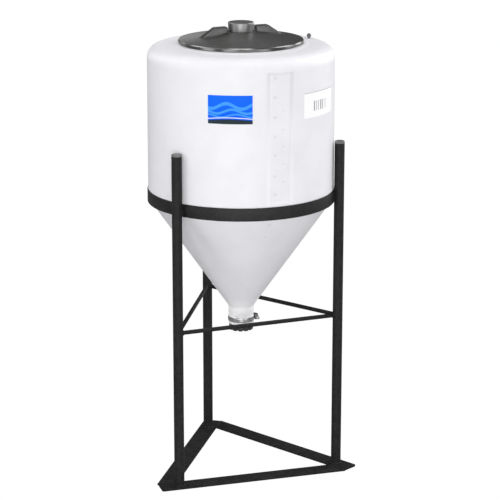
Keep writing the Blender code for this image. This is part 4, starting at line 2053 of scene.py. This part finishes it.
@dataclass
class Sticker:
    """A thin label or sticker that lies on the barrel."""

    name: str
    finish: Finish
    start: float
    end: float
    low: float
    high: float
    lift: float = 0.0002
    thickness: float = 0.0003
    columns: int = 36
    rows: int = 4
    corner: float = 0.003

    def build(self, tank: TankMoulding, finisher: Finisher) -> None:
        """Bend the sheet round the barrel and lay its UV map on it.

        Args:
            tank: The moulding that carries it.
            finisher: Dresses the piece.
        """
        row = (self.high - self.low) / self.rows
        heights = [self.low + row * step for step in range(self.rows + 1)]
        Bench.line([polar(tank.barrel_radius(z) + self.lift, self.start, z) for z in heights])
        bpy.ops.mesh.spin(
            steps=self.columns,
            angle=math.radians(self.end - self.start),
            center=AXIS,
            axis=(0, 0, -1),
        )
        Bench.mend()
        ends = (self.start, self.end)
        Bench.pick(
            Pick.POINTS,
            lambda spot, normal: min(abs(angle_of(spot) - angle) for angle in ends) < 0.01
            and min(spot.z - self.low, self.high - spot.z) < NUDGE,
        )
        bpy.ops.mesh.bevel(offset=self.corner, segments=4, affect="VERTICES")
        piece = Bench.done(self.name, crease=60.0)
        self.face_outwards(piece)
        Bench.hold(piece)
        solid = piece.modifiers.new("thickness", "SOLIDIFY")
        solid.thickness = self.thickness
        solid.offset = 1.0
        bpy.ops.object.modifier_apply(modifier=solid.name)
        bpy.ops.object.shade_smooth_by_angle(angle=math.radians(30.0))
        Bench.clear()
        self.lay_uv(piece)
        finisher.hand_over(piece, self.finish, Body.TANK)

    @staticmethod
    def face_outwards(piece: bpy.types.Object) -> None:
        """Flip an open sheet whose faces look at the tank's axis.

        Args:
            piece: The sheet.
        """
        face = piece.data.polygons[0]
        if face.normal.dot(face.center - AXIS - UP * face.center.z) < 0.0:
            piece.data.flip_normals()

    def lay_uv(self, piece: bpy.types.Object) -> None:
        """Write the UV map: along the sheet by angle, and up it by height.

        Args:
            piece: The sheet.
        """
        layer = piece.data.uv_layers[0]
        for loop in piece.data.loops:
            spot = piece.data.vertices[loop.vertex_index].co
            along = (angle_of(spot) - self.start) / (self.end - self.start)
            layer.data[loop.index].uv = (along, (spot.z - self.low) / (self.high - self.low))


@dataclass(frozen=True)
class Softbox:
    """A softbox that looks at the tank, placed by its angle to the right of the camera."""

    name: str
    turn: float
    reach: float
    height: float
    power: float
    width: float = 1.8
    tall: float = 1.8
    aim: float = 1.0


@dataclass
class Studio:
    """Pale floor, soft lights and the camera, fitted to the photographed view."""

    view_turn: float = -21.25
    distance: float = 6.32334
    height: float = 2.44952
    yaw: float = 0.269
    pitch: float = 15.141
    roll: float = 0.031
    focal_pixels: float = 1972.27
    frame_pixels: float = 500.0
    sensor: float = 36.0
    floor_size: float = 60.0
    floor_tint: Colour = (0.42, 0.42, 0.425)
    surround: float = 0.05
    seen_white: float = 1.02
    softboxes: Tuple[Softbox, ...] = (
        Softbox("front_softbox", 0.0, 4.456, 1.626, 8.0),
        Softbox("front_low_strip", 0.0, 4.2, 0.65, 30.9, width=1.6, tall=0.8),
        Softbox("front_left_softbox", -20.0, 4.483, 1.392, 33.6),
        Softbox("front_right_softbox", 20.0, 4.483, 1.392, 17.5),
        Softbox("low_right_softbox", 42.0, 4.2, 0.9, 26.2, width=1.4),
        Softbox("left_softbox", -60.0, 4.432, 1.781, 35.2),
        Softbox("left_high_softbox", -60.0, 2.893, 4.447, 15.4),
        Softbox("left_back_softbox", -100.0, 3.182, 4.182, 62.0),
        Softbox("left_rear_softbox", -130.0, 4.347, 2.165, 22.4),
        Softbox("right_side_softbox", 100.0, 4.347, 2.165, 35.9),
        Softbox("right_back_softbox", 100.0, 3.182, 4.182, 76.5),
        Softbox("right_rear_softbox", 130.0, 4.347, 2.165, 65.5),
        Softbox("top_strip", 0.0, 1.878, 4.532, 42.0, width=2.0, tall=0.5),
        Softbox("rear_high_softbox", 180.0, 3.182, 4.182, 4.0),
        Softbox("rear_rim_softbox", -172.0, 4.326, 2.240, 2.6, width=0.8, tall=0.8),
        Softbox("low_front_panel", 4.0, 1.45, 0.16, 0.75, width=0.42, tall=0.3, aim=0.16),
        Softbox("low_side_panel", -51.0, 1.45, 0.16, 0.2, width=0.18, tall=0.3, aim=0.16),
    )

    def build_camera(self) -> None:
        """Place the camera at the photograph's view."""
        yaw, pitch, roll = (math.radians(angle) for angle in (self.yaw, self.pitch, self.roll))
        flat = math.cos(pitch)
        forward = Vector((math.sin(yaw) * flat, math.cos(yaw) * flat, -math.sin(pitch)))
        level = forward.cross(UP).normalized()
        upward = level.cross(forward)
        right = math.cos(roll) * level + math.sin(roll) * upward
        top = -math.sin(roll) * level + math.cos(roll) * upward
        turn = Matrix.Rotation(math.radians(self.view_turn), 3, "Z")
        basis = Matrix((turn @ right, turn @ top, turn @ -forward)).transposed().to_4x4()
        lens = bpy.data.cameras.new("studio_camera")
        lens.sensor_width = self.sensor
        lens.lens = self.sensor * self.focal_pixels / self.frame_pixels
        lens.clip_end = self.floor_size * 2
        camera = bpy.data.objects.new("studio_camera", lens)
        bpy.context.scene.collection.objects.link(camera)
        place = turn @ Vector((0.0, -self.distance, self.height))
        camera.matrix_world = Matrix.Translation(AXIS + place) @ basis
        bpy.context.scene.camera = camera

    def build_floor(self) -> None:
        """Lay the pale floor, which looks white and gives a softer light back."""
        Bench.clear()
        bpy.ops.mesh.primitive_plane_add(size=self.floor_size)
        floor = bpy.context.object
        floor.name = "studio_floor"
        shade = Shade("pale_floor")
        path = shade.add("ShaderNodeLightPath")
        seen = Wire(shade, path.outputs["Is Camera Ray"])
        tint = shade.blend(seen, self.floor_tint, (0.0, 0.0, 0.0))
        glow = shade.blend(seen, (0.0, 0.0, 0.0), (1.0, 1.0, 1.0))
        floor.data.materials.append(
            shade.finish(
                Base_Color=tint,
                Roughness=0.9,
                Specular_IOR_Level=0.0,
                Emission_Color=glow,
                Emission_Strength=self.seen_white,
            )
        )
        Bench.clear()

    def build_world(self) -> None:
        """Light the scene from a pale surround that looks white."""
        world = bpy.data.worlds.new("studio_surround")
        bpy.context.scene.world = world
        world.use_nodes = True
        nodes, links = world.node_tree.nodes, world.node_tree.links
        nodes.clear()
        path = nodes.new("ShaderNodeLightPath")
        light, seen = (nodes.new("ShaderNodeBackground") for _ in range(2))
        light.inputs["Strength"].default_value = self.surround
        seen.inputs["Strength"].default_value = self.seen_white
        for background in (light, seen):
            background.inputs["Color"].default_value = (1.0, 1.0, 1.0, 1.0)
        mix = nodes.new("ShaderNodeMixShader")
        output = nodes.new("ShaderNodeOutputWorld")
        links.new(path.outputs["Is Camera Ray"], mix.inputs[0])
        links.new(light.outputs[0], mix.inputs[1])
        links.new(seen.outputs[0], mix.inputs[2])
        links.new(mix.outputs[0], output.inputs[0])

    def add_softbox(self, box: Softbox) -> None:
        """Hang a softbox that looks at the middle of the tank.

        Args:
            box: The softbox.
        """
        lamp = bpy.data.lights.new(box.name, "AREA")
        lamp.shape = "RECTANGLE"
        lamp.size, lamp.size_y = box.width, box.tall
        lamp.energy = box.power
        stand = bpy.data.objects.new(box.name, lamp)
        bpy.context.scene.collection.objects.link(stand)
        place = polar(box.reach, -90.0 + self.view_turn + box.turn, box.height)
        aim = AXIS + UP * box.aim - place
        grain = aim.to_track_quat("-Z", "Y").to_matrix().to_4x4()
        stand.matrix_world = Matrix.Translation(place) @ grain

    def build(self) -> None:
        """Build the whole studio."""
        self.build_camera()
        self.build_floor()
        self.build_world()
        for box in self.softboxes:
            self.add_softbox(box)
        bpy.context.scene.view_settings.view_transform = "Standard"


def main() -> None:
    """Build the studio and every piece in order."""
    logging.basicConfig(level=logging.INFO, format="%(name)s: %(message)s")
    Studio().build()
    finisher = Finisher()
    tank = TankMoulding()
    tank.build(finisher)
    Lid().build(finisher)
    TetherStud().build(finisher)
    Stand().build(finisher)
    OutletFittings().build(finisher)
    stickers = (
        Sticker("front_label", LabelFilm(), start=-131.3, end=-104.05, low=1.2235, high=1.3175),
        Sticker("side_sticker", LabelPaper(), start=-70.6, end=-39.95, low=1.2275, high=1.3085),
    )
    for sticker in stickers:
        sticker.build(tank, finisher)


if __name__ == "__main__":
    main()
